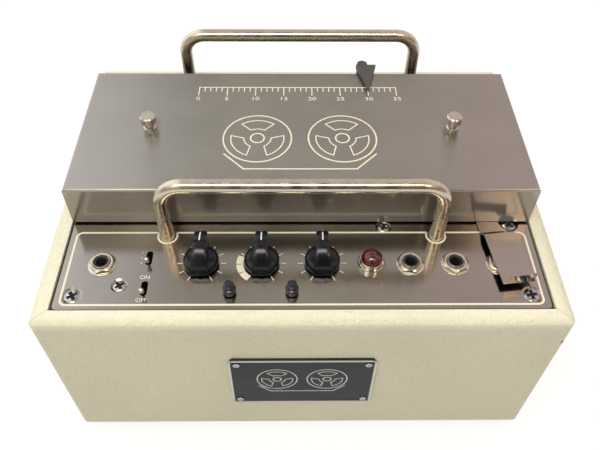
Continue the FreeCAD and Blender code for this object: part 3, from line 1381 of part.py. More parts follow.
def fuse_holder():
    """The fuse holder: a round body through the rear plate, with a screw cap."""
    base = f"{REAR_INNER} - fuse_body_length"
    barrel = rod("fuse_barrel", ("fuse_x", base, WINDOW_MIDDLE), "fuse_body",
                 "fuse_body_length + 1", BACKWARD)
    cap = rod("fuse_cap_disc", ("fuse_x", REAR_INNER, WINDOW_MIDDLE), "fuse_cap",
              "fuse_cap_length", BACKWARD)
    piece("fuse_holder", fuse("fuse", barrel, cap))


def power_switch():
    """The mains toggle: a boxed body inside, a bushing through the plate and a bat lever."""
    inner = f"({REAR_INNER} - plate_sheet)"
    body_base = f"{WINDOW_MIDDLE} - power_body_length / 2"
    shell = block("power_shell", ("power_x", f"{inner} - power_body_depth / 2", body_base),
                  "power_body_width", "power_body_depth", "power_body_length")
    bushing = rod("power_bush", ("power_x", f"{inner} - 1", WINDOW_MIDDLE), "power_bushing",
                  "1 + plate_sheet + power_bushing_length", BACKWARD)
    bore = rod("power_throat", ("power_x", f"{REAR_INNER} - power_pivot_inset * 2",
                                WINDOW_MIDDLE),
               "power_bore", "power_pivot_inset * 2 + power_bushing_length + 1", BACKWARD)
    piece("power_switch", cut("power_cut", fuse("power_blank", shell, bushing), bore))
    stem = rod("power_stem", ("0", "0", "0"), "power_lever_radius", "power_lever_length")
    tip = ball("power_tip", ("0", "0", "power_lever_length"), "power_tip_radius")
    hub = rod("power_hub", ("-power_lever_radius * 1.2", "0", "0"), "power_lever_radius * 1.5",
              "power_lever_radius * 2.4", SIDEWAYS)
    lever = fuse("power_lever", stem, tip, hub)
    place(lever, ("power_x", f"{REAR_INNER} - power_pivot_inset", WINDOW_MIDDLE),
          Rotation(-RIGHT, 90 + value("power_tilt")))
    lever.setExpression(".Placement.Rotation.Angle", full("(90 + power_tilt) * 1 deg"))
    piece("power_switch_lever", lever)


cabinet_box()
rubber_feet()
badge()
plate_screws()
top_deck()
deck_screws()
handle("front_handle", "front_handle_y")
handle("rear_handle", "rear_handle_y")
handle_screws()
for name, socket_x in zip(("input_jack", "playback_jack", "second_output_jack", "main_output_jack"),
                          SOCKET_XS):
    socket(name, socket_x)
panel_nuts()
potentiometers()
for name, knob_x in zip(("guitar_volume_knob", "echo_volume_knob", "echo_repeats_knob"), KNOB_XS):
    pointer_knob(name, knob_x)
for name, knob_x in zip(("record_level_knob", "echo_tone_knob"), TRIM_XS):
    trim_knob(name, knob_x)
toggle_switches()
for name, switch_row in zip(("stereo_mode_lever", "effect_lever"), SWITCH_ROWS):
    switch_lever(name, switch_row)
pilot_lamp()
top_cover()
cover_posts()
thumb_screw("left_thumb_screw", -1)
thumb_screw("right_thumb_screw", 1)
capstan_drive()
motor_drive()
drive_belt()
tape_loop()
cartridge()
tape_head("erase_head", "erase_head_x", "head_rise", True)
tape_head("record_head", "record_head_x", "head_rise", True)
tape_head("playback_head", "(pointer_post_x + playback_offset)", "head_rise", False)
rails()
head_carriage()
delay_pointer()
pinch_lever()
electronics()
power_transformer()
rear_plate()
power_inlet()
fuse_holder()
power_switch()

doc.recompute()
for thing in doc.Objects:
    if "Invalid" in thing.State or "Error" in thing.State:
        raise RuntimeError(f"{thing.Name} is {thing.State}")
os.makedirs("parts", exist_ok=True)
for thing in PIECES:
    if thing.Shape.isNull() or not thing.Shape.isValid():
        raise RuntimeError(f"{thing.Label} has no valid shape")
for thing in PIECES:
    thing.Shape.exportStep(f"parts/{thing.Label}.step")
    print(f"{thing.Label:22s} solids {len(thing.Shape.Solids)} volume {thing.Shape.Volume:12.1f}")
print(len(PIECES), "pieces")
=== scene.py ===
import math
import bmesh
import bpy
from mathutils import Matrix, Vector


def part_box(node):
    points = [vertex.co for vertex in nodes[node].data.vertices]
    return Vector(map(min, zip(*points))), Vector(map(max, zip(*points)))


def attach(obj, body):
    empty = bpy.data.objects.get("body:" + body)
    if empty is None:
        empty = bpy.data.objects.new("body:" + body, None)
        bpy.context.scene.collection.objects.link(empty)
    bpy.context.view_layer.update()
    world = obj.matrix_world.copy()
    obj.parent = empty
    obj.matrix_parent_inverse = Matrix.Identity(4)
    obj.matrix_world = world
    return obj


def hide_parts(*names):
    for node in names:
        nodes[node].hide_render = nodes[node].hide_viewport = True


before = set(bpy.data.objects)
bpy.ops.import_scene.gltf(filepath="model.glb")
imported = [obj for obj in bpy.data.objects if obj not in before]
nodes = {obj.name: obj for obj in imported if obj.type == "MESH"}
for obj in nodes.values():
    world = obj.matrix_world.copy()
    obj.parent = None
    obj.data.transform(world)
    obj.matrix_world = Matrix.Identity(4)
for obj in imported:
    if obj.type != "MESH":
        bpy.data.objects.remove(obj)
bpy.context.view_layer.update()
scene = bpy.context.scene
MM = 0.001

# ---------------------------------------------------------------------------------------------
# Camera: it stands over the player's side and looks down at the deck. Its turns, in degrees, are
# to the side, down, and about the line of sight.
# ---------------------------------------------------------------------------------------------
CAMERA_PLACE, CAMERA_LENS = (-0.0061, -0.28055, 0.40806), 38.787
CAMERA_TURNS = (1.185, 49.723, 0.838)
yaw, pitch, roll = (math.radians(angle) for angle in CAMERA_TURNS)
ahead = Vector((math.sin(yaw) * math.cos(pitch), math.cos(yaw) * math.cos(pitch), -math.sin(pitch)))
level = Vector((math.cos(yaw), -math.sin(yaw), 0))
raised = level.cross(ahead)
across = level * math.cos(roll) + raised * math.sin(roll)
upward = raised * math.cos(roll) - level * math.sin(roll)
camera = bpy.data.objects.new("camera", bpy.data.cameras.new("camera"))
camera.data.lens = CAMERA_LENS
camera.matrix_world = (Matrix.Translation(CAMERA_PLACE)
                       @ Matrix((across, upward, -ahead)).transposed().to_4x4())
scene.collection.objects.link(camera)
scene.camera = camera

# ---------------------------------------------------------------------------------------------
# Studio: a white floor that keeps the unit's shadow, a pale room with a window on either side,
# and a long warm lamp over the player's side. The walls change from left to right and with height.
# ---------------------------------------------------------------------------------------------
FAR_WALLS = ((0.322, (1.55, 1.55, 1.62)), (0.34, (1.25, 1.26, 1.33)), (0.365, (1.12, 1.14, 1.2)),
             (0.41, (0.72, 0.72, 0.7)), (0.53, (0.7, 0.69, 0.65)), (0.66, (0.95, 0.8, 0.82)))
FAR_HEIGHTS = ((0.0, 1.0), (0.3, 1.0), (0.62, 1.05), (0.85, 1.0), (1.0, 0.9))
NEAR_WALLS = ((0.33, (1.3, 1.22, 1.1)), (0.39, (1.0, 0.9, 0.76)), (0.43, (0.35, 0.32, 0.28)),
              (0.47, (0.12, 0.11, 0.1)), (0.54, (0.2, 0.18, 0.16)), (0.63, (0.3, 0.26, 0.22)),
              (0.68, (0.85, 0.7, 0.6)))
NEAR_HEIGHTS = ((0.0, 0.42), (0.42, 0.46), (0.66, 1.0), (1.0, 0.9))
WALLS_MEET = (-0.12, 0.12)
WINDOWS = ((0.365, (7.2, 5.6, 4.6)), (-0.42, (3.6, 3.6, 3.5)))
WINDOW_HEIGHT, WINDOW_WALL = 0.74, (-0.2, 0.0)
WINDOW_SIDES, WINDOW_ENDS = (0.075, 0.09), (0.06, 0.08)
LAMP_SIZE, LAMP_POWER, LAMP_COLOUR = (0.9, 0.5), 17.5, (1.0, 0.98, 0.9)
LAMP_PLACE, LAMP_TIP = (-0.15, -0.75, 1.6), -25
FLOOR_GREY, FLOOR_GLOW, FLOOR_REACH = 0.3, 0.72, 12


def add(material, kind, sockets=None, **settings):
    """One shader node, with its sockets set to numbers or joined to other sockets."""
    made = material.node_tree.nodes.new("ShaderNode" + kind)
    for key, setting in settings.items():
        setattr(made, key, setting)
    for key, source in (sockets or {}).items():
        if isinstance(source, bpy.types.NodeSocket):
            material.node_tree.links.new(source, made.inputs[key])
        else:
            made.inputs[key].default_value = source
    return made


def ramp(material, fac, *stops, blend="LINEAR"):
    """A colour that follows a value, through stops of (place, colour or grey)."""
    made = add(material, "ValToRGB", {"Fac": fac})
    made.color_ramp.interpolation = blend
    while len(made.color_ramp.elements) < len(stops):
        made.color_ramp.elements.new(0.5)
    for element, (spot, colour) in zip(made.color_ramp.elements, stops):
        element.position = spot
        element.color = (*colour, 1) if isinstance(colour, (tuple, list)) else (colour,) * 3 + (1,)
    return made.outputs["Color"]


def sums(material, operation, *values, clamp=False):
    """A sum on values and sockets."""
    return add(material, "Math", dict(enumerate(values)), operation=operation,
               use_clamp=clamp).outputs[0]


def mix(material, fac, low, high, blend="MIX"):
    """A colour between two, each a colour or a socket."""
    made = add(material, "Mix", data_type="RGBA", blend_type=blend)
    for index, source in ((0, fac), (6, low), (7, high)):
        if isinstance(source, bpy.types.NodeSocket):
            material.node_tree.links.new(source, made.inputs[index])
        else:
            made.inputs[index].default_value = (*source, 1) if isinstance(source, tuple) else source
    return made.outputs[2]


def near(material, value, low, high):
    """1 below low, 0 above high, with a soft step between."""
    made = add(material, "MapRange", {"Value": value, "From Min": low, "From Max": high,
                                      "To Min": 1.0, "To Max": 0.0},
               interpolation_type="SMOOTHSTEP")
    return made.outputs[0]


world = bpy.data.worlds.new("studio")
world.use_nodes = True
scene.world = world
direction = add(world, "SeparateXYZ", {"Vector": add(world, "TexCoord").outputs["Generated"]})
sideways = sums(world, "MULTIPLY_ADD", direction.outputs["X"], 0.5, 0.5)
rise = direction.outputs["Z"]
far_walls = mix(world, 1.0, ramp(world, sideways, *FAR_WALLS), ramp(world, rise, *FAR_HEIGHTS),
                blend="MULTIPLY")
near_walls = mix(world, 1.0, ramp(world, sideways, *NEAR_WALLS), ramp(world, rise, *NEAR_HEIGHTS),
                 blend="MULTIPLY")
sky = mix(world, near(world, direction.outputs["Y"], *WALLS_MEET), far_walls, near_walls)
for middle, colour in WINDOWS:
    aside = sums(world, "ABSOLUTE", sums(world, "SUBTRACT", direction.outputs["X"], middle))
    above = sums(world, "ABSOLUTE", sums(world, "SUBTRACT", rise, WINDOW_HEIGHT))
    pane = sums(world, "MULTIPLY", near(world, aside, *WINDOW_SIDES),
                near(world, above, *WINDOW_ENDS))
    pane = sums(world, "MULTIPLY", pane, near(world, direction.outputs["Y"], *WINDOW_WALL))
    sky = mix(world, pane, sky, colour)
world.node_tree.links.new(sky, world.node_tree.nodes["Background"].inputs["Color"])

lamp = bpy.data.lights.new("overhead_lamp", "AREA")
lamp.shape = "RECTANGLE"
lamp.size, lamp.size_y = LAMP_SIZE
lamp.energy = LAMP_POWER
lamp.color = LAMP_COLOUR
lamp_holder = bpy.data.objects.new("overhead_lamp", lamp)
lamp_holder.matrix_world = (Matrix.Translation(LAMP_PLACE)
                            @ Matrix.Rotation(math.radians(LAMP_TIP), 4, "X"))
scene.collection.objects.link(lamp_holder)

floor_white = bpy.data.materials.new("floor_white")
floor_white.use_nodes = True
base = floor_white.node_tree.nodes["Principled BSDF"]
base.inputs["Base Color"].default_value = (FLOOR_GREY, FLOOR_GREY, FLOOR_GREY, 1)
base.inputs["Roughness"].default_value = 1
base.inputs["Specular IOR Level"].default_value = 0
base.inputs["Emission Color"].default_value = (1, 1, 1, 1)
path = add(floor_white, "LightPath").outputs
seen = sums(floor_white, "MAXIMUM", path["Is Camera Ray"],
            sums(floor_white, "MAXIMUM", path["Is Glossy Ray"], path["Is Transmission Ray"]))
floor_white.node_tree.links.new(sums(floor_white, "MULTIPLY", seen, FLOOR_GLOW),
                                base.inputs["Emission Strength"])
floor_mesh = bpy.data.meshes.new("floor")
corners = ((-1, -1), (1, -1), (1, 1), (-1, 1))
floor_mesh.from_pydata([(x * FLOOR_REACH, y * FLOOR_REACH, 0) for x, y in corners], [],
                       [(0, 1, 2, 3)])
floor_mesh.materials.append(floor_white)
floor = bpy.data.objects.new("floor", floor_mesh)
scene.collection.objects.link(floor)

# ---------------------------------------------------------------------------------------------
# Cabinet: a plywood box wrapped in cream vinyl, rolled over the rim and mitred at the corners.
# The vinyl is torn through to the backing at one front corner.
# ---------------------------------------------------------------------------------------------
VINYL = (0.85, 0.835, 0.64)
rim_corner = [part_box("cabinet_box")[1][axis] for axis in (0, 1)]
RIM_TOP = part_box("cabinet_box")[1][2]


def finish(name, colour, metallic, roughness):
    """A new material, and its shader set to the plain finish."""
    made = bpy.data.materials.new(name)
    made.use_nodes = True
    shader = made.node_tree.nodes["Principled BSDF"]
    shader.inputs["Base Color"].default_value = (*colour, 1)
    shader.inputs["Metallic"].default_value = metallic
    shader.inputs["Roughness"].default_value = roughness
    return made, shader


def grain(material, pitch, detail=3.0, distortion=0.0, offset=(0, 0, 0), rough=0.55,
          turn=(0, 0, 0)):
    """Noise in the piece's own metres: pitch is the size of its lumps in mm, one for each axis."""
    spread = add(material, "Mapping", {
        "Vector": add(material, "TexCoord").outputs["Object"],
        "Location": offset, "Rotation": tuple(math.radians(angle) for angle in turn),
        "Scale": tuple(size * MM for size in pitch)}, vector_type="TEXTURE")
    return add(material, "TexNoise", {"Vector": spread.outputs[0], "Scale": 1.0, "Detail": detail,
                                      "Roughness": rough, "Distortion": distortion}).outputs["Fac"]


def join(material, source, socket):
    """Feed a socket of the material's shader."""
    material.node_tree.links.new(source, socket)


def emboss(material, shader, relief, depth, strength=1.0):
    """Relief on the surface, its depth in mm."""
    made = add(material, "Bump", {"Height": relief, "Distance": depth * MM, "Strength": strength})
    join(material, made.outputs[0], shader.inputs["Normal"])


def shade(colour, factor):
    """A colour made darker or lighter."""
    return tuple(channel * factor for channel in colour)


def paint(material, *names):
    """Give CAD nodes their finish."""
    for name in names:
        for holder in nodes[name].material_slots:
            holder.material = material


def axes(material):
    """The x, y and z of the surface in the unit's own metres."""
    place = add(material, "TexCoord").outputs["Object"]
    split = add(material, "SeparateXYZ", {"Vector": place})
    return [split.outputs[name] for name in "XYZ"]


WALL_INSIDE, WALL_STEP, WALL_SHADE = (0.13195, 0.09785), 0.0001, (1.2, 3.0)
ROLL, ROLL_DEPTH, RIM_BAND = 7.5, 3.0, (4.0, 7.0)
SEAM_WIDTH, SEAM_DEPTH, SEAM_STAIN, SEAM_BROWN = (0.0001, 0.0008), 0.25, 0.28, (0.4, 0.28, 0.15)
WRINKLE_PITCH, WRINKLE_SLANT, PEBBLE_PITCH = (2.7, 1.15, 1.15), (0, -35.3, 45), (0.8, 0.8, 0.8)
WRINKLE_DEPTH, PEBBLE_DEPTH = 0.75, 0.12
TEAR_PLACE, TEAR_EDGE, TEAR_FRAY = (0.1403, -0.1052, 0.1045), (0.0026, 0.0036), 0.002
TORN_BROWN, GAP_SHADE_BLACK = (0.13, 0.07, 0.03), (0.012, 0.01, 0.008)

vinyl, shader = finish("cream_vinyl", VINYL, 0.0, 0.5)
x, y, z = axes(vinyl)
out_x, out_y = sums(vinyl, "ABSOLUTE", x), sums(vinyl, "ABSOLUTE", y)
below = sums(vinyl, "MULTIPLY_ADD", z, -1 / MM, RIM_TOP / MM)
aside = sums(vinyl, "MINIMUM", sums(vinyl, "MULTIPLY_ADD", out_x, -1 / MM, rim_corner[0] / MM),
             sums(vinyl, "MULTIPLY_ADD", out_y, -1 / MM, rim_corner[1] / MM))
rolled = sums(vinyl, "MULTIPLY_ADD", sums(vinyl, "ADD", below, aside), -1 / ROLL, 1.0, clamp=True)
roll = sums(vinyl, "MULTIPLY", sums(vinyl, "MULTIPLY", rolled, rolled), ROLL_DEPTH)
mitre = sums(vinyl, "ABSOLUTE", sums(vinyl, "SUBTRACT", out_x,
                                     sums(vinyl, "ADD", out_y, rim_corner[0] - rim_corner[1])))
seam = sums(vinyl, "MULTIPLY", near(vinyl, mitre, *SEAM_WIDTH), near(vinyl, below, *RIM_BAND))
wrinkles = grain(vinyl, WRINKLE_PITCH, distortion=0.9, rough=0.6, turn=WRINKLE_SLANT)
pebbles = grain(vinyl, PEBBLE_PITCH, detail=2.0)
relief = sums(vinyl, "MULTIPLY_ADD", wrinkles, WRINKLE_DEPTH,
              sums(vinyl, "MULTIPLY", pebbles, PEBBLE_DEPTH))
relief = sums(vinyl, "SUBTRACT", relief, sums(vinyl, "MULTIPLY_ADD", seam, SEAM_DEPTH, roll))
emboss(vinyl, shader, relief, 1.0)
mottle = grain(vinyl, (60, 60, 60), detail=4)
cream = ramp(vinyl, mottle, (0.3, shade(VINYL, 0.94)), (0.7, shade(VINYL, 1.01)))
# Painted shade: the low spots of the wrinkles are coloured darker, as shade in the grain's creases.
cream = mix(vinyl, ramp(vinyl, wrinkles, (0.3, 0.45), (0.5, 0.0)), cream, shade(VINYL, 0.76))
cream = mix(vinyl, sums(vinyl, "MULTIPLY", seam, SEAM_STAIN), cream, SEAM_BROWN)
from_tear = add(vinyl, "VectorMath", {0: add(vinyl, "TexCoord").outputs["Object"], 1: TEAR_PLACE},
                operation="DISTANCE").outputs[1]
tear = near(vinyl, sums(vinyl, "ADD", from_tear, sums(vinyl, "MULTIPLY", pebbles, TEAR_FRAY)),
            *TEAR_EDGE)
cream = mix(vinyl, tear, cream, TORN_BROWN)
# Painted shade: the inner walls of the rim, in the gap round the deck, are coloured down to black
# from 1.2 to 3 mm below the rim top.
inside = sums(vinyl, "MULTIPLY", near(vinyl, out_x, WALL_INSIDE[0], WALL_INSIDE[0] + WALL_STEP),
              near(vinyl, out_y, WALL_INSIDE[1], WALL_INSIDE[1] + WALL_STEP))
inside = sums(vinyl, "MULTIPLY", inside,
              sums(vinyl, "SUBTRACT", 1.0, near(vinyl, below, *WALL_SHADE)))
join(vinyl, mix(vinyl, inside, cream, GAP_SHADE_BLACK), shader.inputs["Base Color"])
join(vinyl, ramp(vinyl, wrinkles, (0.3, 0.62), (0.65, 0.42)), shader.inputs["Roughness"])
paint(vinyl, "cabinet_box")

# ---------------------------------------------------------------------------------------------
# Feet: four moulded rubber feet with a dusty skin, one screwed under each corner of the box so
# that the wood stands clear of the table.
# ---------------------------------------------------------------------------------------------


def rubber(name, colour, bumps=0.6):
    """Black rubber with a fine matt grain and a dusty bloom."""
    made, shader = finish(name, colour, 0.0, 0.8)
    fine = grain(made, (bumps, bumps, bumps), detail=2)
    emboss(made, shader, fine, 0.03)
    dust = grain(made, (9, 9, 9), detail=4)
    join(made, ramp(made, dust, (0.35, colour), (0.75, shade(colour, 2.2))),
         shader.inputs["Base Color"])
    join(made, ramp(made, dust, (0.3, 0.65), (0.7, 0.9)), shader.inputs["Roughness"])
    return made


paint(rubber("foot_rubber", (0.022, 0.022, 0.023)), "rubber_feet")

# ---------------------------------------------------------------------------------------------
# Badge: an etched plate with a slate enamel field and a bare silver rim, held by four screws.
# Its field carries a plain pair of tape reels in silver line.
# ---------------------------------------------------------------------------------------------
badge_low, badge_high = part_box("badge_plate")
BADGE_FACE = badge_low[1]
SLATE = (0.018, 0.024, 0.029)
SILVER = (0.62, 0.61, 0.56)
FIELD_SINK, FIELD_HALF, EDGE_STEP = 0.0004, (0.0401, 0.0403), 0.0001
BADGE_PRINT, BADGE_PRINT_SINK = 0.12, 0.00052
BADGE_REEL_RISE, BADGE_REEL_SIZE, BADGE_LINE = 3.5, 11.5, 0.7


def streaks(material, along, pitch=0.22, run=30.0, offset=(0, 0, 0)):
    """Brushing marks that run along one axis."""
    sizes = tuple(run if name == along else pitch for name in "xyz")
    return grain(material, sizes, detail=3, offset=offset, rough=0.7)


def brushed(name, colour, along="x", roughness=(0.15, 0.22), depth=0.003, patches=0.12, smear=0.85):
    """Brushed sheet: long fine scratches that spread reflections across them, and faint patches."""
    made, shader = finish(name, colour, 1.0, sum(roughness) / 2)
    shader.inputs["Anisotropic"].default_value = smear
    join(made, add(made, "Tangent", direction_type="RADIAL", axis=along.upper()).outputs[0],
         shader.inputs["Tangent"])
    lines = streaks(made, along)
    coarse = streaks(made, along, pitch=0.9, run=70.0, offset=(3, 5, 1))
    emboss(made, shader, sums(made, "MULTIPLY_ADD", coarse, 0.8, lines), depth)
    stains = grain(made, (45, 45, 45), detail=5, offset=(2, 9, 4))
    worn = ramp(made, stains, (0.3, shade(colour, 1 - patches)),
                (0.7, shade(colour, 1 + patches / 2)))
    tinted = mix(made, ramp(made, lines, (0.35, 0.3), (0.65, 0.0)), worn, shade(colour, 0.8))
    join(made, tinted, shader.inputs["Base Color"])
    uneven = sums(made, "MULTIPLY_ADD", stains, 0.6, sums(made, "MULTIPLY", lines, 0.4))
    join(made, ramp(made, uneven, (0.3, roughness[0]), (0.7, roughness[1])),
         shader.inputs["Roughness"])
    return made


badge_metal, shader = finish("badge_metal", SLATE, 0.0, 0.4)
shader.inputs["Specular IOR Level"].default_value = 0.15
x, y, z = axes(badge_metal)
in_recess = near(badge_metal, sums(badge_metal, "SUBTRACT", BADGE_FACE + FIELD_SINK, y), 0.0,
                 EDGE_STEP)
in_recess = sums(badge_metal, "MULTIPLY", in_recess,
                 near(badge_metal, sums(badge_metal, "ABSOLUTE", x), *FIELD_HALF))
fleck = grain(badge_metal, (0.5, 0.5, 0.5), detail=2)
cloud = grain(badge_metal, (16, 16, 16), detail=4)
enamel = ramp(badge_metal, cloud, (0.35, shade(SLATE, 0.85)), (0.7, shade(SLATE, 1.25)))
silver = ramp(badge_metal, streaks(badge_metal, "x"), (0.35, shade(SILVER, 0.7)), (0.65, SILVER))
join(badge_metal, mix(badge_metal, in_recess, silver, enamel), shader.inputs["Base Color"])
join(badge_metal, sums(badge_metal, "SUBTRACT", 1.0, in_recess), shader.inputs["Metallic"])
join(badge_metal, ramp(badge_metal, fleck, (0.3, 0.3), (0.7, 0.48)), shader.inputs["Roughness"])
emboss(badge_metal, shader, fleck, 0.012)
paint(badge_metal, "badge_plate")


def ribbon(bm, points, width, closed=False):
    """A flat strip of even width along points in the plane."""
    count = len(points)
    sides = []
    for index, point in enumerate(points):
        before = points[index - 1] if closed or index else point
        after = points[(index + 1) % count] if closed or index < count - 1 else point
        way_in = (Vector(point) - Vector(before)).normalized()
        way_out = (Vector(after) - Vector(point)).normalized()
        if way_in.length == 0 or way_out.length == 0:
            way_in = way_out = way_in + way_out
        middle = (way_in + way_out).normalized()
        reach = width / 2 / max(middle.dot(way_out), 0.4)
        normal = Vector((-middle.y, middle.x)) * reach
        sides.append([bm.verts.new((*(Vector(point) + turn * normal), 0)) for turn in (1, -1)])
    for index in range(count if closed else count - 1):
        left, right = sides[index], sides[(index + 1) % count]
        bm.faces.new((left[0], left[1], right[1], right[0]))


def arc(x, y, radius, start, end, step=6):
    """Points round a centre from one angle to another, in degrees."""
    count = max(2, round(abs(end - start) / step) + 1)
    angles = [math.radians(start + (end - start) * k / (count - 1)) for k in range(count)]
    return [(x + radius * math.cos(angle), y + radius * math.sin(angle)) for angle in angles]


def ring(bm, x, y, radius, width, step=5):
    """A closed circle of line."""
    ribbon(bm, arc(x, y, radius, 0, 360, step)[:-1], width, closed=True)


REELS_APART, REEL_HUB, REEL_WINDOW = 1.25, 0.2, ((0.78, 38), (0.4, 30))
TAPE_PATH = ((-2.2, -0.66), (-1.6, -1.28), (1.6, -1.28), (2.2, -0.66))


def reels(bm, x, y, size, line):
    """Two tape reels with three windows each, and the tape that runs under them."""
    (outer, outer_span), (inner, inner_span) = REEL_WINDOW
    for side in (-1, 1):
        middle = x + side * size * REELS_APART
        ring(bm, middle, y, size, line)
        ring(bm, middle, y, size * REEL_HUB, line)
        for start in (90, 210, 330):
            window = arc(middle, y, size * outer, start - outer_span, start + outer_span)
            window += arc(middle, y, size * inner, start + inner_span, start - inner_span)
            ribbon(bm, window, line * 0.8, closed=True)
    ribbon(bm, [(x + size * aside, y + size * above) for aside, above in TAPE_PATH], line)


def lay(name, bm, thickness, matrix, material, body, slot):
    """Turn a flat drawing into a thin print on the unit."""
    mesh = bpy.data.meshes.new(name)
    bmesh.ops.scale(bm, vec=(MM, MM, MM), verts=bm.verts)
    bmesh.ops.recalc_face_normals(bm, faces=bm.faces)
    for face in bm.faces:
        if face.normal.z < 0:
            face.normal_flip()
    body_of_print = bmesh.ops.extrude_face_region(bm, geom=bm.faces[:], use_keep_orig=True)
    raised = [item for item in body_of_print["geom"] if isinstance(item, bmesh.types.BMVert)]
    bmesh.ops.translate(bm, vec=(0, 0, thickness * MM), verts=raised)
    bmesh.ops.recalc_face_normals(bm, faces=bm.faces)
    bmesh.ops.transform(bm, matrix=matrix, verts=bm.verts)
    bm.to_mesh(mesh)
    bm.free()
    mesh.materials.append(material)
    return place(name, mesh, body, slot)


def place(name, mesh, body, slot):
    """Put a piece into the scene, on its body. The slot is not used."""
    piece = bpy.data.objects.new(name, mesh)
    scene.collection.objects.link(piece)
    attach(piece, body)
    return piece


badge_line, shader = finish("badge_line", SILVER, 0.8, 0.35)
rubbed = grain(badge_line, (1.2, 1.2, 1.2), detail=3)
join(badge_line, ramp(badge_line, rubbed, (0.35, shade(SILVER, 0.6)), (0.65, SILVER)),
     shader.inputs["Base Color"])
emboss(badge_line, shader, rubbed, 0.01)
badge_art = bmesh.new()
reels(badge_art, 0, BADGE_REEL_RISE, BADGE_REEL_SIZE, BADGE_LINE)
badge_middle = (badge_low[2] + badge_high[2]) / 2
lay("badge_reels", badge_art, BADGE_PRINT,
    Matrix.Translation((0, BADGE_FACE + BADGE_PRINT_SINK, badge_middle))
    @ Matrix.Rotation(math.radians(90), 4, "X"), badge_line, "case", "badge_metal")


def plated(name, colour, roughness=0.16, lumps=0.002):
    """Bright plating: fine wipe marks, small dull patches and a very slight ripple."""
    made, shader = finish(name, colour, 1.0, roughness)
    haze = grain(made, (7, 7, 7), detail=5)
    join(made, ramp(made, haze, (0.35, shade(colour, 0.9)), (0.7, colour)),
         shader.inputs["Base Color"])
    join(made, ramp(made, haze, (0.3, roughness * 0.7), (0.75, roughness * 1.6)),
         shader.inputs["Roughness"])
    emboss(made, shader, grain(made, (2.5, 2.5, 2.5), detail=2), lumps)
    return made


paint(plated("small_screw_steel", (0.5, 0.49, 0.46), 0.25), "plate_screws")

# ---------------------------------------------------------------------------------------------
# Deck: a stainless sheet brushed from side to side, let into the cabinet, with its lines
# screen printed in cream.
# ---------------------------------------------------------------------------------------------
DECK_STEEL = (0.335, 0.305, 0.265)
DECK_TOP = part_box("top_deck")[1][2]
paint(brushed("deck_steel", DECK_STEEL, roughness=(0.12, 0.17), smear=0.75), "top_deck")

SCREEN_CREAM = (0.85, 0.80, 0.62)
print_cream, shader = finish("print_cream", SCREEN_CREAM, 0.0, 0.55)
worn_ink = grain(print_cream, (0.5, 0.5, 0.5), detail=3)
join(print_cream, ramp(print_cream, worn_ink, (0.3, shade(SCREEN_CREAM, 0.82)),
                       (0.6, SCREEN_CREAM)), shader.inputs["Base Color"])
emboss(print_cream, shader, worn_ink, 0.01)

FRAME_LEFT, FRAME_RIGHT, FRAME_FRONT, FRAME_REAR = -127.4, 127.2, -93.8, -45.0
FRAME_ROUND, LINE_WIDTH = 3.3, 1.15
LEG_X, LEG_Y, LEG_RING = 76.2, -47.4, 5.4
KNOB_XS, KNOB_Y = (-55.4, -22.3, 10.8), -66.8
TICK_COUNT, TICK_START, TICK_STEP, TICK_ENDS, TICK_WIDTH = 11, 240, 30, (10.5, 13.4), 0.45
BAND_COUNT, BAND_START, BAND_STEP, BAND_SPAN, BAND_RADIUS, BAND_WIDTH = 3, 236, 27, 25, 12.15, 3.7
SWITCH_WORDS = (("ON", 2.5, -85.0, -76.2), ("OFF", 2.5, -85.0, -90.9), ("1", 1.6, -88.6, -59.4),
                ("2", 1.6, -88.6, -63.1), ("3", 1.6, -88.6, -66.8))
PRINT, CAP_HEIGHT = 0.04, 0.72


def letter(bm, words, size, x, y, wide=1.0):
    """Plain characters, centred on x and y, size in mm from foot to head."""
    curve = bpy.data.curves.new("characters", "FONT")
    curve.body, curve.size = words, size / CAP_HEIGHT
    curve.align_x, curve.align_y = "CENTER", "CENTER"
    curve.resolution_u = 3
    holder = bpy.data.objects.new("characters", curve)
    flat = bpy.data.meshes.new_from_object(holder)
    flat.transform(Matrix.Translation((x, y, 0)) @ Matrix.Scale(wide, 4, (1, 0, 0)))
    bm.from_mesh(flat)
    bpy.data.objects.remove(holder)
    bpy.data.curves.remove(curve)
    bpy.data.meshes.remove(flat)


def tick(bm, x, y, angle, near_end, far_end, width):
    """A short straight line that points at a centre."""
    way = Vector((math.cos(math.radians(angle)), math.sin(math.radians(angle))))
    ribbon(bm, [tuple(Vector((x, y)) + way * end) for end in (near_end, far_end)], width)


deck_lines = bmesh.new()
gap = math.degrees(math.asin((FRAME_REAR - LEG_Y) / LEG_RING))
outline = []
right_leg = arc(LEG_X, LEG_Y, LEG_RING, gap, gap - 180 - 2 * gap)
left_leg = arc(-LEG_X, LEG_Y, LEG_RING, gap, gap - 180 - 2 * gap)
corner_spots = ((FRAME_RIGHT, FRAME_REAR, -1, -1, 90), (FRAME_RIGHT, FRAME_FRONT, -1, 1, 0),
                (FRAME_LEFT, FRAME_FRONT, 1, 1, -90), (FRAME_LEFT, FRAME_REAR, 1, -1, 180))
for x, y, side, end, start in corner_spots:
    outline += arc(x + side * FRAME_ROUND, y + end * FRAME_ROUND, FRAME_ROUND, start, start - 90,
                   15)
ribbon(deck_lines, [right_leg[0]] + outline + [left_leg[-1]], LINE_WIDTH)
ribbon(deck_lines, [right_leg[-1], left_leg[0]], LINE_WIDTH)
for leg in (right_leg, left_leg):
    ribbon(deck_lines, leg, LINE_WIDTH)
for knob_x in KNOB_XS:
    for count in range(BAND_COUNT if knob_x == KNOB_XS[1] else 0, TICK_COUNT):
        tick(deck_lines, knob_x, KNOB_Y, TICK_START - TICK_STEP * count, *TICK_ENDS, TICK_WIDTH)
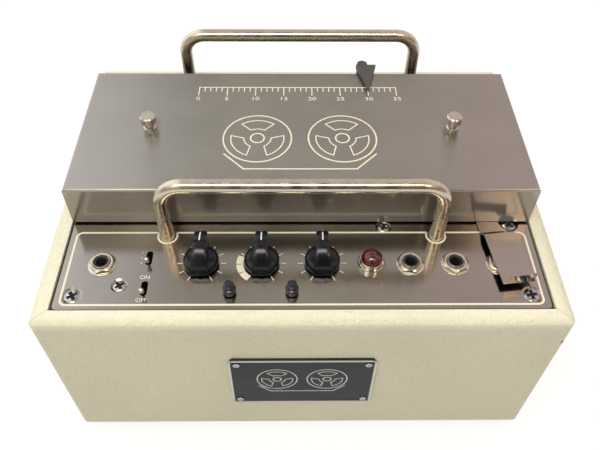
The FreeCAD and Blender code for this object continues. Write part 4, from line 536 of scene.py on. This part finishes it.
for count in range(BAND_COUNT):
    start = BAND_START - BAND_STEP * count
    segment = arc(KNOB_XS[1], KNOB_Y, BAND_RADIUS, start, start - BAND_SPAN, 4)
    ribbon(deck_lines, segment, BAND_WIDTH)
for word in SWITCH_WORDS:
    letter(deck_lines, *word)
lay("deck_print", deck_lines, PRINT, Matrix.Translation((0, 0, DECK_TOP)), print_cream, "case",
    "cream_vinyl")

# ---------------------------------------------------------------------------------------------
# Deck screws: plated countersunk cross screws. The six larger ones go into the battens of the
# box, and the two smaller ones into the chassis under the sheet.
# ---------------------------------------------------------------------------------------------
BATTEN_HEAD, CHASSIS_HEAD = 4.6, 3.7
DECK_SCREWS = ((-121.7, -87.8, BATTEN_HEAD, 32), (121.7, -87.8, BATTEN_HEAD, 8),
               (120.1, -38.6, BATTEN_HEAD, 42), (-121.7, -16.0, BATTEN_HEAD, 15),
               (-121.7, 87.8, BATTEN_HEAD, 60), (121.7, 87.8, BATTEN_HEAD, 25),
               (-98.0, -81.4, CHASSIS_HEAD, 35), (46.9, -40.7, CHASSIS_HEAD, 70))
CROSS_ARM, CROSS_WIDTH, CROSS_DEPTH = 0.62, (0.13, 0.18), 1.3
SHANK_RADIUS, SHANK_LENGTH, SCREW_SIDES = 1.9, 12, 72
HEAD_DOME, HEAD_RISE, HEAD_DEPTH, SEAT_WIDTH = 0.95, 0.2, 1.6, 0.68
screw_steel = plated("screw_steel", (0.46, 0.45, 0.44), 0.17, lumps=0.004)
# Painted shade: a near-black with the rubber finish, laid in each cross recess, at the middle of
# each head and as a ring in each countersink seat.
painted_recess_shade = rubber("painted_recess_shade", (0.006, 0.006, 0.006))


def sweep(bm, rings, closed=False, material=0):
    """Join rings of points into a skin, in order; closed joins the last to the first."""
    made = [[bm.verts.new(point) for point in points] for points in rings]
    pairs = list(zip(made, made[1:])) + ([(made[-1], made[0])] if closed else [])
    for low, high in pairs:
        for index in range(len(low)):
            after = (index + 1) % len(low)
            face = bm.faces.new((low[index], low[after], high[after], high[index]))
            face.material_index = material
    return made


def circle(x, y, z, radius, count=48):
    """Points of a level circle."""
    return [(x + radius * math.cos(2 * math.pi * k / count),
             y + radius * math.sin(2 * math.pi * k / count), z) for k in range(count)]


def to_piece(name, bm, materials, body, slot, replaced=(), angle=35):
    """Scale a mesh in mm to metres, shade it smooth up to an edge angle, and place it."""
    bmesh.ops.scale(bm, vec=(MM, MM, MM), verts=bm.verts)
    bmesh.ops.recalc_face_normals(bm, faces=bm.faces)
    mesh = bpy.data.meshes.new(name)
    bm.to_mesh(mesh)
    bm.free()
    for material in materials:
        mesh.materials.append(material)
    mesh.shade_smooth()
    mesh.set_sharp_from_angle(angle=math.radians(angle))
    piece = place(name, mesh, body, slot)
    if replaced:
        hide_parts(*replaced)
    return piece


def head_height(radius, angle, head):
    """How high a screw's head stands at a place on it: a dome with a cross pressed into it."""
    arm, width = CROSS_ARM * head, CROSS_WIDTH[0] * head + CROSS_WIDTH[1]
    spread = abs(radius * math.cos(angle)), abs(radius * math.sin(angle))
    depth = min(1.0, max(0.0, 1.6 - min(spread) / width * 1.2)) * (max(spread) < arm)
    depth *= CROSS_DEPTH * (1 - 0.55 * max(spread) / arm)
    return HEAD_RISE - HEAD_DOME * (radius / head) ** 3.2 - depth


def cross_screw(bm, x, y, z, head, turn):
    """A domed head with a pressed cross whose recess is painted black as shade, its shank below it,
    and a black ring painted as the shade in its seat.
    """
    count = SCREW_SIDES
    rings = []
    for step in range(15):
        radius = head * (0.04 + 0.96 * step / 14)
        points = []
        for k in range(count):
            angle = 2 * math.pi * k / count
            heading = angle + math.radians(turn)
            points.append((x + radius * math.cos(heading), y + radius * math.sin(heading),
                           z + head_height(radius, angle, head)))
        rings.append(points)
    shank = z - HEAD_DEPTH - 0.1
    skin = sweep(bm, rings + [circle(x, y, z - HEAD_DEPTH, head * 0.7, count),
                              circle(x, y, shank, SHANK_RADIUS, count),
                              circle(x, y, z - SHANK_LENGTH, SHANK_RADIUS, count)])
    bm.faces.new(skin[0]).material_index = 1
    bm.faces.new(skin[-1])
    # Painted shade: the faces down in the cross recess take the black.
    for point in (point for points in skin[:10] for point in points):
        if point.co.z < z - 0.15:
            for face in point.link_faces:
                face.material_index = 1
    # Painted shade: a black ring stands in the countersink round the head.
    seat = ((SEAT_WIDTH, -0.55), (SEAT_WIDTH - 0.08, -0.35), (-0.2, -1.1), (-0.1, -1.3))
    sweep(bm, [circle(x, y, z + above, head + out, count) for out, above in seat], closed=True,
          material=1)


screws = bmesh.new()
for spot_x, spot_y, head, turn in DECK_SCREWS:
    cross_screw(screws, spot_x, spot_y, DECK_TOP / MM, head, turn)
to_piece("deck_cross_screws", screws, [screw_steel, painted_recess_shade], "case", "screw_steel",
         ["deck_screws"])

# ---------------------------------------------------------------------------------------------
# Handles: two steel rods bent into bows and plated with warm nickel. Each stands on two turned
# collars and is screwed up through the deck from below.
# ---------------------------------------------------------------------------------------------
HANDLE_NICKEL = (0.6, 0.535, 0.42)
paint(plated("handle_nickel", HANDLE_NICKEL, 0.22, lumps=0.003), "front_handle", "rear_handle")
paint(brushed("hidden_screw_steel", (0.4, 0.39, 0.37), along="z"), "handle_screws")

# ---------------------------------------------------------------------------------------------
# Sockets: nickel bushings with a black moulded throat, each held by a chamfered hexagon nut.
# The same nuts hold the three volume controls.
# ---------------------------------------------------------------------------------------------
NUT_NICKEL = (0.6, 0.545, 0.44)
SOCKETS = {"input_jack": -109.5, "playback_jack": 59.3, "second_output_jack": 83.95,
           "main_output_jack": 108.6}
SOCKET_Y = -67.5
NUT_FLATS, NUT_HEIGHT, NUT_BORE, NUT_SEAT = 12.7, 2.5, 4.85, 6.1
NUT_TURNS, KNOB_NUT_TURN = (13, 50, 22, 38), 10
WASHER_RADIUS, WASHER_HEIGHT, CHAMFER_SLOPE = 7.7, 0.4, 0.62
SOCKET_LIP = ((4.2, 2.85), (4.7, 2.85), (4.7, 3.2), (4.55, 3.4), (4.35, 3.4), (4.2, 3.25))
paint(plated("jack_nickel", NUT_NICKEL, 0.18), *SOCKETS)
nut_nickel = plated("nut_nickel", NUT_NICKEL, 0.2)


def hexagon(x, y, z, turn, slope, count):
    """Points of a level hexagon, where slope lowers the corners as a turned chamfer does."""
    points = []
    for k in range(count):
        angle = 2 * math.pi * k / count
        corner = (angle - math.radians(turn)) % (math.pi / 3) - math.pi / 6
        radius = NUT_FLATS / 2 / math.cos(corner)
        drop = max(0.0, radius - NUT_SEAT) * slope
        points.append((x + radius * math.cos(angle), y + radius * math.sin(angle), z - drop))
    return points


def nut(bm, x, y, z, turn, count=96):
    """A hexagon nut with the curved chamfer of a turned bar, on a thin washer."""
    foot, top, bevel = z + WASHER_HEIGHT, z + NUT_HEIGHT, 0.25
    sweep(bm, [circle(x, y, foot, NUT_BORE, count), hexagon(x, y, foot, turn, 0.0, count),
               hexagon(x, y, top - 0.12, turn, CHAMFER_SLOPE, count),
               circle(x, y, top, NUT_SEAT, count), circle(x, y, top, NUT_BORE + bevel, count),
               circle(x, y, top - bevel, NUT_BORE, count)], closed=True)
    washer = ((NUT_BORE, 0.0), (WASHER_RADIUS, 0.0), (WASHER_RADIUS, WASHER_HEIGHT - 0.1),
              (WASHER_RADIUS - 0.15, WASHER_HEIGHT), (NUT_BORE, WASHER_HEIGHT))
    sweep(bm, [circle(x, y, z + above, radius, count) for radius, above in washer], closed=True)


nuts = bmesh.new()
deck_level = DECK_TOP / MM
for turn, socket_x in zip(NUT_TURNS, SOCKETS.values()):
    nut(nuts, socket_x, SOCKET_Y, deck_level, turn)
    sweep(nuts, [circle(socket_x, SOCKET_Y, deck_level + above, radius)
                 for radius, above in SOCKET_LIP], closed=True)
for knob_x in KNOB_XS:
    nut(nuts, knob_x, KNOB_Y, deck_level, KNOB_NUT_TURN)
to_piece("hexagon_nuts", nuts, [nut_nickel], "case", "nut_nickel", ["panel_nuts"])


def moulded(name, colour, roughness=0.35, texture=0.5, depth=0.01):
    """Moulded plastic with a faint grain, uneven gloss and a little dust."""
    made, shader = finish(name, colour, 0.0, roughness)
    fine = grain(made, (texture, texture, texture), detail=3)
    cloud = grain(made, (11, 11, 11), detail=4, offset=(5, 2, 8))
    emboss(made, shader, fine, depth)
    join(made, ramp(made, cloud, (0.35, shade(colour, 0.85)), (0.75, shade(colour, 1.35))),
         shader.inputs["Base Color"])
    join(made, ramp(made, cloud, (0.3, roughness * 0.75), (0.7, roughness * 1.3)),
         shader.inputs["Roughness"])
    return made


throat_black = moulded("throat_black", (0.012, 0.012, 0.013), 0.4)
MOUTH = deck_level + 2.85
THROAT = ((3.15, -27.6), (3.15, 0.0), (4.18, 0.0), (4.18, 0.3), (3.05, -0.35), (2.8, -0.8),
          (2.8, -27.2))
for label, socket_x in SOCKETS.items():
    throat = bmesh.new()
    skin = sweep(throat, [circle(socket_x, SOCKET_Y, MOUTH + above, radius)
                          for radius, above in THROAT])
    throat.faces.new(skin[0])
    throat.faces.new(skin[-1])
    to_piece(label.replace("jack", "throat"), throat, [throat_black], "case", "switch_can")

# ---------------------------------------------------------------------------------------------
# Volume controls: pressed cans under the deck, and gloss black pointer knobs with a white
# line let into the nose.
# ---------------------------------------------------------------------------------------------
paint(brushed("control_can", (0.45, 0.44, 0.42), along="z"), "potentiometers")
KNOB_HEIGHT = 14.6
KNOB_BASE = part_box("guitar_volume_knob")[1][2] / MM - KNOB_HEIGHT
KNOB_BLACK, LINE_WHITE = (0.0055, 0.006, 0.0095), (0.86, 0.86, 0.84)
LINE_HALF, LINE_THICK, LINE_YS = 0.35, 0.09, (3.8, 5.6, 7.4, 9.4, 11.2)
knob_black = moulded("knob_black", KNOB_BLACK, 0.2, texture=2.5, depth=0.004)
knob_black.node_tree.nodes["Principled BSDF"].inputs["Specular IOR Level"].default_value = 0.35
line_white, shader = finish("line_white", LINE_WHITE, 0.0, 0.4)
join(line_white, ramp(line_white, grain(line_white, (0.4, 0.4, 0.4)), (0.3, 0.7), (0.6, 0.88)),
     shader.inputs["Base Color"])

# Stations of the ridge from foot to nose: place, half width at the foot, half width at the top,
# lowest and highest point.
RIDGE = [(-9.5, 5.2, 4.8, 0.2, 1.4), (-9.35, 5.45, 5.1, 0.2, 3.0), (-8.6, 5.4, 4.95, 0.2, 5.4),
         (-7.2, 5.1, 4.6, 0.2, 8.0), (-5.2, 4.8, 4.3, 0.2, 10.6), (-3.7, 4.6, 4.1, 0.2, 11.9),
         (-1.6, 4.3, 3.9, 0.2, 13.3), (0.0, 4.15, 3.75, 0.2, 13.95), (1.5, 4.05, 3.7, 0.2, 14.35),
         (4.0, 4.0, 3.65, 0.2, 14.6), (6.1, 4.0, 3.6, 0.9, 14.45), (7.9, 3.95, 3.55, 3.2, 14.15),
         (9.3, 3.9, 3.5, 5.4, 13.85), (10.6, 3.8, 3.4, 8.3, 13.5), (11.4, 3.6, 3.2, 10.1, 13.1),
         (11.8, 3.1, 2.8, 10.9, 12.6)]
SKIRT = [(0.0, 9.3), (0.35, 9.65), (2.7, 9.65), (3.7, 9.3), (4.5, 8.6), (4.9, 7.6), (5.05, 6.0),
         (5.2, 3.0)]


def ridge_section(foot, top, low, high):
    """One cut across the ridge, half width and height: sides that lean in, and round shoulders."""
    round_off = min(0.9, (high - low) * 0.3)
    shoulder = high - round_off
    return [(foot, low), (foot + (top - foot) * 0.5, (low + shoulder) / 2), (top, shoulder),
            (top - round_off * 0.3, high - round_off * 0.3), (top - round_off, high),
            (top * 0.35, high + 0.05)]


def ridge_top(place_y):
    """How high the ridge is at a place along it."""
    for (y0, *_, high0), (y1, *_, high1) in zip(RIDGE, RIDGE[1:]):
        if y0 <= place_y <= y1:
            return high0 + (high1 - high0) * (place_y - y0) / (y1 - y0)


def knob(label, body, x, y):
    """One pointer knob, built round its own shaft."""
    bm = bmesh.new()
    skirt = sweep(bm, [circle(x, y, KNOB_BASE + z, radius, 72) for z, radius in SKIRT])
    bm.faces.new(skirt[0])
    bm.faces.new(skirt[-1])
    rings = []
    for place_y, *sizes in RIDGE:
        half = ridge_section(*sizes)
        points = [(x + side, y + place_y, KNOB_BASE + z) for side, z in half]
        points += [(x - side, y + place_y, KNOB_BASE + z) for side, z in reversed(half)]
        rings.append(points)
    ridge = sweep(bm, rings)
    bm.faces.new(ridge[0])
    bm.faces.new(ridge[-1])
    bar = ((-LINE_HALF, 0.0), (LINE_HALF, 0.0), (LINE_HALF, LINE_THICK), (-LINE_HALF, LINE_THICK))
    line = [[(x + side, y + place_y, KNOB_BASE + ridge_top(place_y) + up) for side, up in bar]
            for place_y in LINE_YS]
    ends = sweep(bm, line, material=1)
    for end in (ends[0], ends[-1]):
        bm.faces.new(end).material_index = 1
    to_piece(label, bm, [knob_black, line_white], body, "knob_black",
             [label.replace("pointer", "knob")])


for label, body, knob_x in (("guitar_volume_pointer", "guitar_volume", KNOB_XS[0]),
                            ("echo_volume_pointer", "echo_volume", KNOB_XS[1]),
                            ("echo_repeats_pointer", "echo_repeats", KNOB_XS[2])):
    knob(label, body, knob_x, KNOB_Y)

# ---------------------------------------------------------------------------------------------
# Small controls: two stepped knobs moulded in gloss black plastic and pushed onto the shafts of
# the level and tone controls.
# ---------------------------------------------------------------------------------------------
TRIM_BLACK = (0.011, 0.012, 0.018)
paint(moulded("trim_black", TRIM_BLACK, 0.2, texture=1.5, depth=0.006),
      "record_level_knob", "echo_tone_knob")

# ---------------------------------------------------------------------------------------------
# Switches: black moulded bodies screwed under slots in the deck, with turned and polished levers
# that end in a ball.
# ---------------------------------------------------------------------------------------------
paint(moulded("switch_can", (0.01, 0.01, 0.012), 0.5), "toggle_switches")
toggle_chrome = plated("toggle_chrome", (0.66, 0.64, 0.6), 0.1)
paint(toggle_chrome, "stereo_mode_lever", "effect_lever", "power_switch_lever")

# ---------------------------------------------------------------------------------------------
# Pilot lamp: a turned and polished bezel and a dark red glass dome.
# ---------------------------------------------------------------------------------------------
paint(plated("lamp_chrome", (0.62, 0.58, 0.51), 0.1), "lamp_bezel")
jewel_low, jewel_high = ([corner / MM for corner in corners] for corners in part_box("lamp_jewel"))
JEWEL_X, JEWEL_Y = ((jewel_low[axis] + jewel_high[axis]) / 2 for axis in (0, 1))
JEWEL_RADIUS = (jewel_high[0] - jewel_low[0]) / 2
JEWEL_RED, JEWEL_PAINTED_GLOW = (0.06, 0.003, 0.006), (0.12, 0.01, 0.012)
DOME_RISE, DOME_FOOT, DOME_COLLAR = 5.2, 0.4, ((0.6, -1.0), (0.1, -0.2), (0.0, 0.4))
red_jewel, shader = finish("red_jewel", JEWEL_RED, 0.0, 0.04)
shader.inputs["IOR"].default_value = 1.52
shader.inputs["Coat Weight"].default_value = 0.5
shader.inputs["Coat Roughness"].default_value = 0.02
# Painted glow: the dome's dark red lightens in soft patches to a brighter red, as light caught
# inside the glass.
swirl_and_glow = grain(red_jewel, (3.0, 3.0, 3.0), detail=2)
emboss(red_jewel, shader, swirl_and_glow, 0.015)
join(red_jewel, ramp(red_jewel, swirl_and_glow, (0.35, shade(JEWEL_RED, 0.5)), (0.7, JEWEL_PAINTED_GLOW)),
     shader.inputs["Base Color"])
jewel = bmesh.new()
JEWEL_SEAT = jewel_high[2] - DOME_RISE - DOME_FOOT
dome = [(JEWEL_RADIUS - inside, JEWEL_SEAT + above) for inside, above in DOME_COLLAR]
dome += [(JEWEL_RADIUS * math.cos(angle), JEWEL_SEAT + DOME_FOOT + DOME_RISE * math.sin(angle))
         for angle in (math.radians(7.5 * k) for k in range(1, 12))]
skin = sweep(jewel, [circle(JEWEL_X, JEWEL_Y, height, radius, 64) for radius, height in dome])
jewel.faces.new(skin[0])
jewel.faces.new(skin[-1])
to_piece("jewel_dome", jewel, [red_jewel], "case", "red_jewel", ["lamp_jewel"], angle=60)

# ---------------------------------------------------------------------------------------------
# Lever: a bent strip of brushed stainless that parks over the main output. It swings on a post
# under the cover, and its far end carries the rubber pinch roller.
# ---------------------------------------------------------------------------------------------
LEVER_STEEL, POST_STEEL = (0.36, 0.33, 0.285), (0.46, 0.45, 0.43)
paint(brushed("lever_steel", LEVER_STEEL, roughness=(0.12, 0.18), depth=0.001),
      "pinch_lever")
paint(brushed("pivot_steel", POST_STEEL, along="z"), "lever_pivot_post")
paint(rubber("roller_rubber", (0.02, 0.02, 0.02)), "pinch_roller")

# ---------------------------------------------------------------------------------------------
# Tape transport under the cover: ground steel rails in aluminium blocks carry the playback head,
# the tape runs from a plastic cartridge past guides and heads to the capstan, and a motor under
# the deck drives the flywheel with a rubber belt.
# ---------------------------------------------------------------------------------------------
GROUND_STEEL, ALUMINIUM = (0.55, 0.54, 0.53), (0.45, 0.45, 0.46)
BRASS, PULLEY_BRASS = (0.5, 0.36, 0.15), (0.52, 0.38, 0.16)
paint(brushed("post_steel", POST_STEEL, along="z"), "cover_posts")
paint(plated("rail_steel", GROUND_STEEL, 0.14), "head_rails")
paint(brushed("block_aluminium", ALUMINIUM, along="z", roughness=(0.35, 0.5)), "rail_blocks")
paint(brushed("carriage_aluminium", ALUMINIUM, along="x", roughness=(0.3, 0.45)),
      "head_carriage")
paint(brushed("head_metal", (0.5, 0.5, 0.52), along="x", roughness=(0.18, 0.3)), "erase_head",
      "record_head", "playback_head")
paint(moulded("tray_plastic", (0.02, 0.02, 0.022), 0.5), "cartridge_tray")
paint(moulded("lid_plastic", (0.11, 0.09, 0.07), 0.15), "cartridge_lid")
paint(moulded("tape_brown", (0.05, 0.024, 0.016), 0.3), "tape_loop")
paint(plated("guide_steel", GROUND_STEEL, 0.12), "tape_guides")
paint(plated("capstan_steel", GROUND_STEEL, 0.12), "capstan_shaft")
paint(moulded("motor_enamel", (0.03, 0.03, 0.033), 0.45), "drive_motor")
paint(plated("bearing_brass", BRASS, 0.25), "capstan_bearing")
paint(rubber("belt_rubber", (0.015, 0.015, 0.015)), "drive_belt")
paint(brushed("flywheel_steel", (0.42, 0.41, 0.39), along="z"), "flywheel")
paint(plated("pulley_brass", PULLEY_BRASS, 0.25), "motor_pulley")

# ---------------------------------------------------------------------------------------------
# Electronics: a resin board stands on brass spacers on the floor of the box, with its valves in
# ceramic sockets and its capacitors in cans, beside the iron mains transformer.
# ---------------------------------------------------------------------------------------------
CLEAR_GLASS = (0.9, 0.93, 0.95)
paint(moulded("transformer_iron", (0.03, 0.03, 0.032), 0.6, texture=1.0, depth=0.05),
      "power_transformer")
paint(moulded("board_resin", (0.02, 0.07, 0.03), 0.4), "amp_board")
paint(moulded("socket_ceramic", (0.7, 0.67, 0.58), 0.25), "tube_sockets")
paint(brushed("capacitor_can", (0.06, 0.1, 0.22), along="z"), "filter_capacitors")
paint(plated("standoff_brass", BRASS, 0.25), "board_standoffs")
valve_glass, shader = finish("valve_glass", CLEAR_GLASS, 0.0, 0.05)
shader.inputs["Transmission Weight"].default_value = 0.95
join(valve_glass, ramp(valve_glass, grain(valve_glass, (12, 12, 9)), (0.35, (0.82, 0.86, 0.88)),
                       (0.6, (0.93, 0.95, 0.96))), shader.inputs["Base Color"])
emboss(valve_glass, shader, grain(valve_glass, (6, 6, 6)), 0.02)
paint(valve_glass, "vacuum_tubes")

# ---------------------------------------------------------------------------------------------
# Cover: a folded stainless lid, brushed from side to side, printed with the delay scale and a
# pair of tape reels, and held down by two turned thumb screws.
# ---------------------------------------------------------------------------------------------
COVER_STEEL = (0.36, 0.335, 0.3)
COVER_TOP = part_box("top_cover")[1][2]
COVER_SMEAR, SIDE_SMEAR, SIDE_METAL, SIDE_ROUGHNESS = 0.9, 0.4, 0.65, 0.55
SCALE_STEPS, SCALE_ZERO, SCALE_PITCH, SCALE_LINE, SCALE_WIDTH = 35, -63.98, 3.546, 51.5, 0.7
LONG_MARK, SHORT_MARK, MARK_WIDTH, MARKS_TO_NUMBER = 43.4, 47.4, 0.6, 5
NUMBER_SIZE, NUMBER_Y, NUMBER_WIDE = 3.3, 40.2, 1.2
COVER_REEL_X, COVER_REEL_Y, COVER_REEL_SIZE, COVER_REEL_LINE = -1.0, 4.0, 20.0, 0.85
cover_steel = brushed("cover_steel", COVER_STEEL, roughness=(0.27, 0.34), patches=0.1,
                      smear=COVER_SMEAR)
shader = cover_steel.node_tree.nodes["Principled BSDF"]
# The folded sides are dustier than the top, and brushed less.
facing = add(cover_steel, "SeparateXYZ", {"Vector": add(cover_steel, "TexCoord").outputs["Normal"]})
upright = near(cover_steel, sums(cover_steel, "ABSOLUTE", facing.outputs["Z"]), 0.2, 0.8)
join(cover_steel, sums(cover_steel, "MULTIPLY_ADD", upright, SIDE_METAL - 1, 1.0),
     shader.inputs["Metallic"])
join(cover_steel, sums(cover_steel, "MULTIPLY_ADD", upright, SIDE_SMEAR - COVER_SMEAR, COVER_SMEAR),
     shader.inputs["Anisotropic"])
spread = shader.inputs["Roughness"].links[0].from_socket
smoother = sums(cover_steel, "MULTIPLY_ADD", upright, SIDE_ROUGHNESS - 1, 1.0)
join(cover_steel, sums(cover_steel, "MULTIPLY", spread, smoother), shader.inputs["Roughness"])
paint(cover_steel, "top_cover")
scale = bmesh.new()
overrun = SCALE_WIDTH / 2
ribbon(scale, [(SCALE_ZERO - overrun, SCALE_LINE),
               (SCALE_ZERO + SCALE_STEPS * SCALE_PITCH + overrun, SCALE_LINE)], SCALE_WIDTH)
for count in range(SCALE_STEPS + 1):
    x, numbered = SCALE_ZERO + count * SCALE_PITCH, count % MARKS_TO_NUMBER == 0
    foot = LONG_MARK if numbered else SHORT_MARK
    ribbon(scale, [(x, SCALE_LINE - overrun), (x, foot)], MARK_WIDTH)
    if numbered:
        letter(scale, str(count), NUMBER_SIZE, x, NUMBER_Y, wide=NUMBER_WIDE)
reels(scale, COVER_REEL_X, COVER_REEL_Y, COVER_REEL_SIZE, COVER_REEL_LINE)
lay("cover_print", scale, PRINT, Matrix.Translation((0, 0, COVER_TOP)), print_cream, "cover",
    "cream_vinyl")
paint(plated("thumb_nickel", (0.52, 0.48, 0.41), 0.22), "left_thumb_screw", "right_thumb_screw")

# ---------------------------------------------------------------------------------------------
# Delay pointer: a satin grey arrow cast in one piece with its hub, which is pressed onto the
# post of the head carriage behind the cover.
# ---------------------------------------------------------------------------------------------
POINTER_GREY = (0.085, 0.08, 0.078)
POINTER_DARK, POINTER_PALE = (0.07, 0.066, 0.064), (0.11, 0.103, 0.1)
pointer_grey, shader = finish("pointer_grey", POINTER_GREY, 0.35, 0.42)
satin = grain(pointer_grey, (0.8, 0.8, 0.8), detail=4)
join(pointer_grey, ramp(pointer_grey, satin, (0.3, POINTER_DARK), (0.7, POINTER_PALE)),
     shader.inputs["Base Color"])
emboss(pointer_grey, shader, satin, 0.02)
paint(pointer_grey, "delay_pointer")

# ---------------------------------------------------------------------------------------------
# Rear: a brushed steel plate screwed behind a window in the box. It holds the moulded mains
# inlet, the fuse holder and the mains switch.
# ---------------------------------------------------------------------------------------------
FITTING_BLACK = (0.012, 0.012, 0.013)
paint(brushed("rear_steel", DECK_STEEL, along="x"), "rear_plate")
paint(moulded("inlet_plastic", FITTING_BLACK, 0.45), "power_inlet")
paint(moulded("fuse_plastic", FITTING_BLACK, 0.35), "fuse_holder")
paint(plated("power_switch_metal", (0.5, 0.49, 0.46), 0.25), "power_switch")

scene.view_settings.view_transform = "Standard"
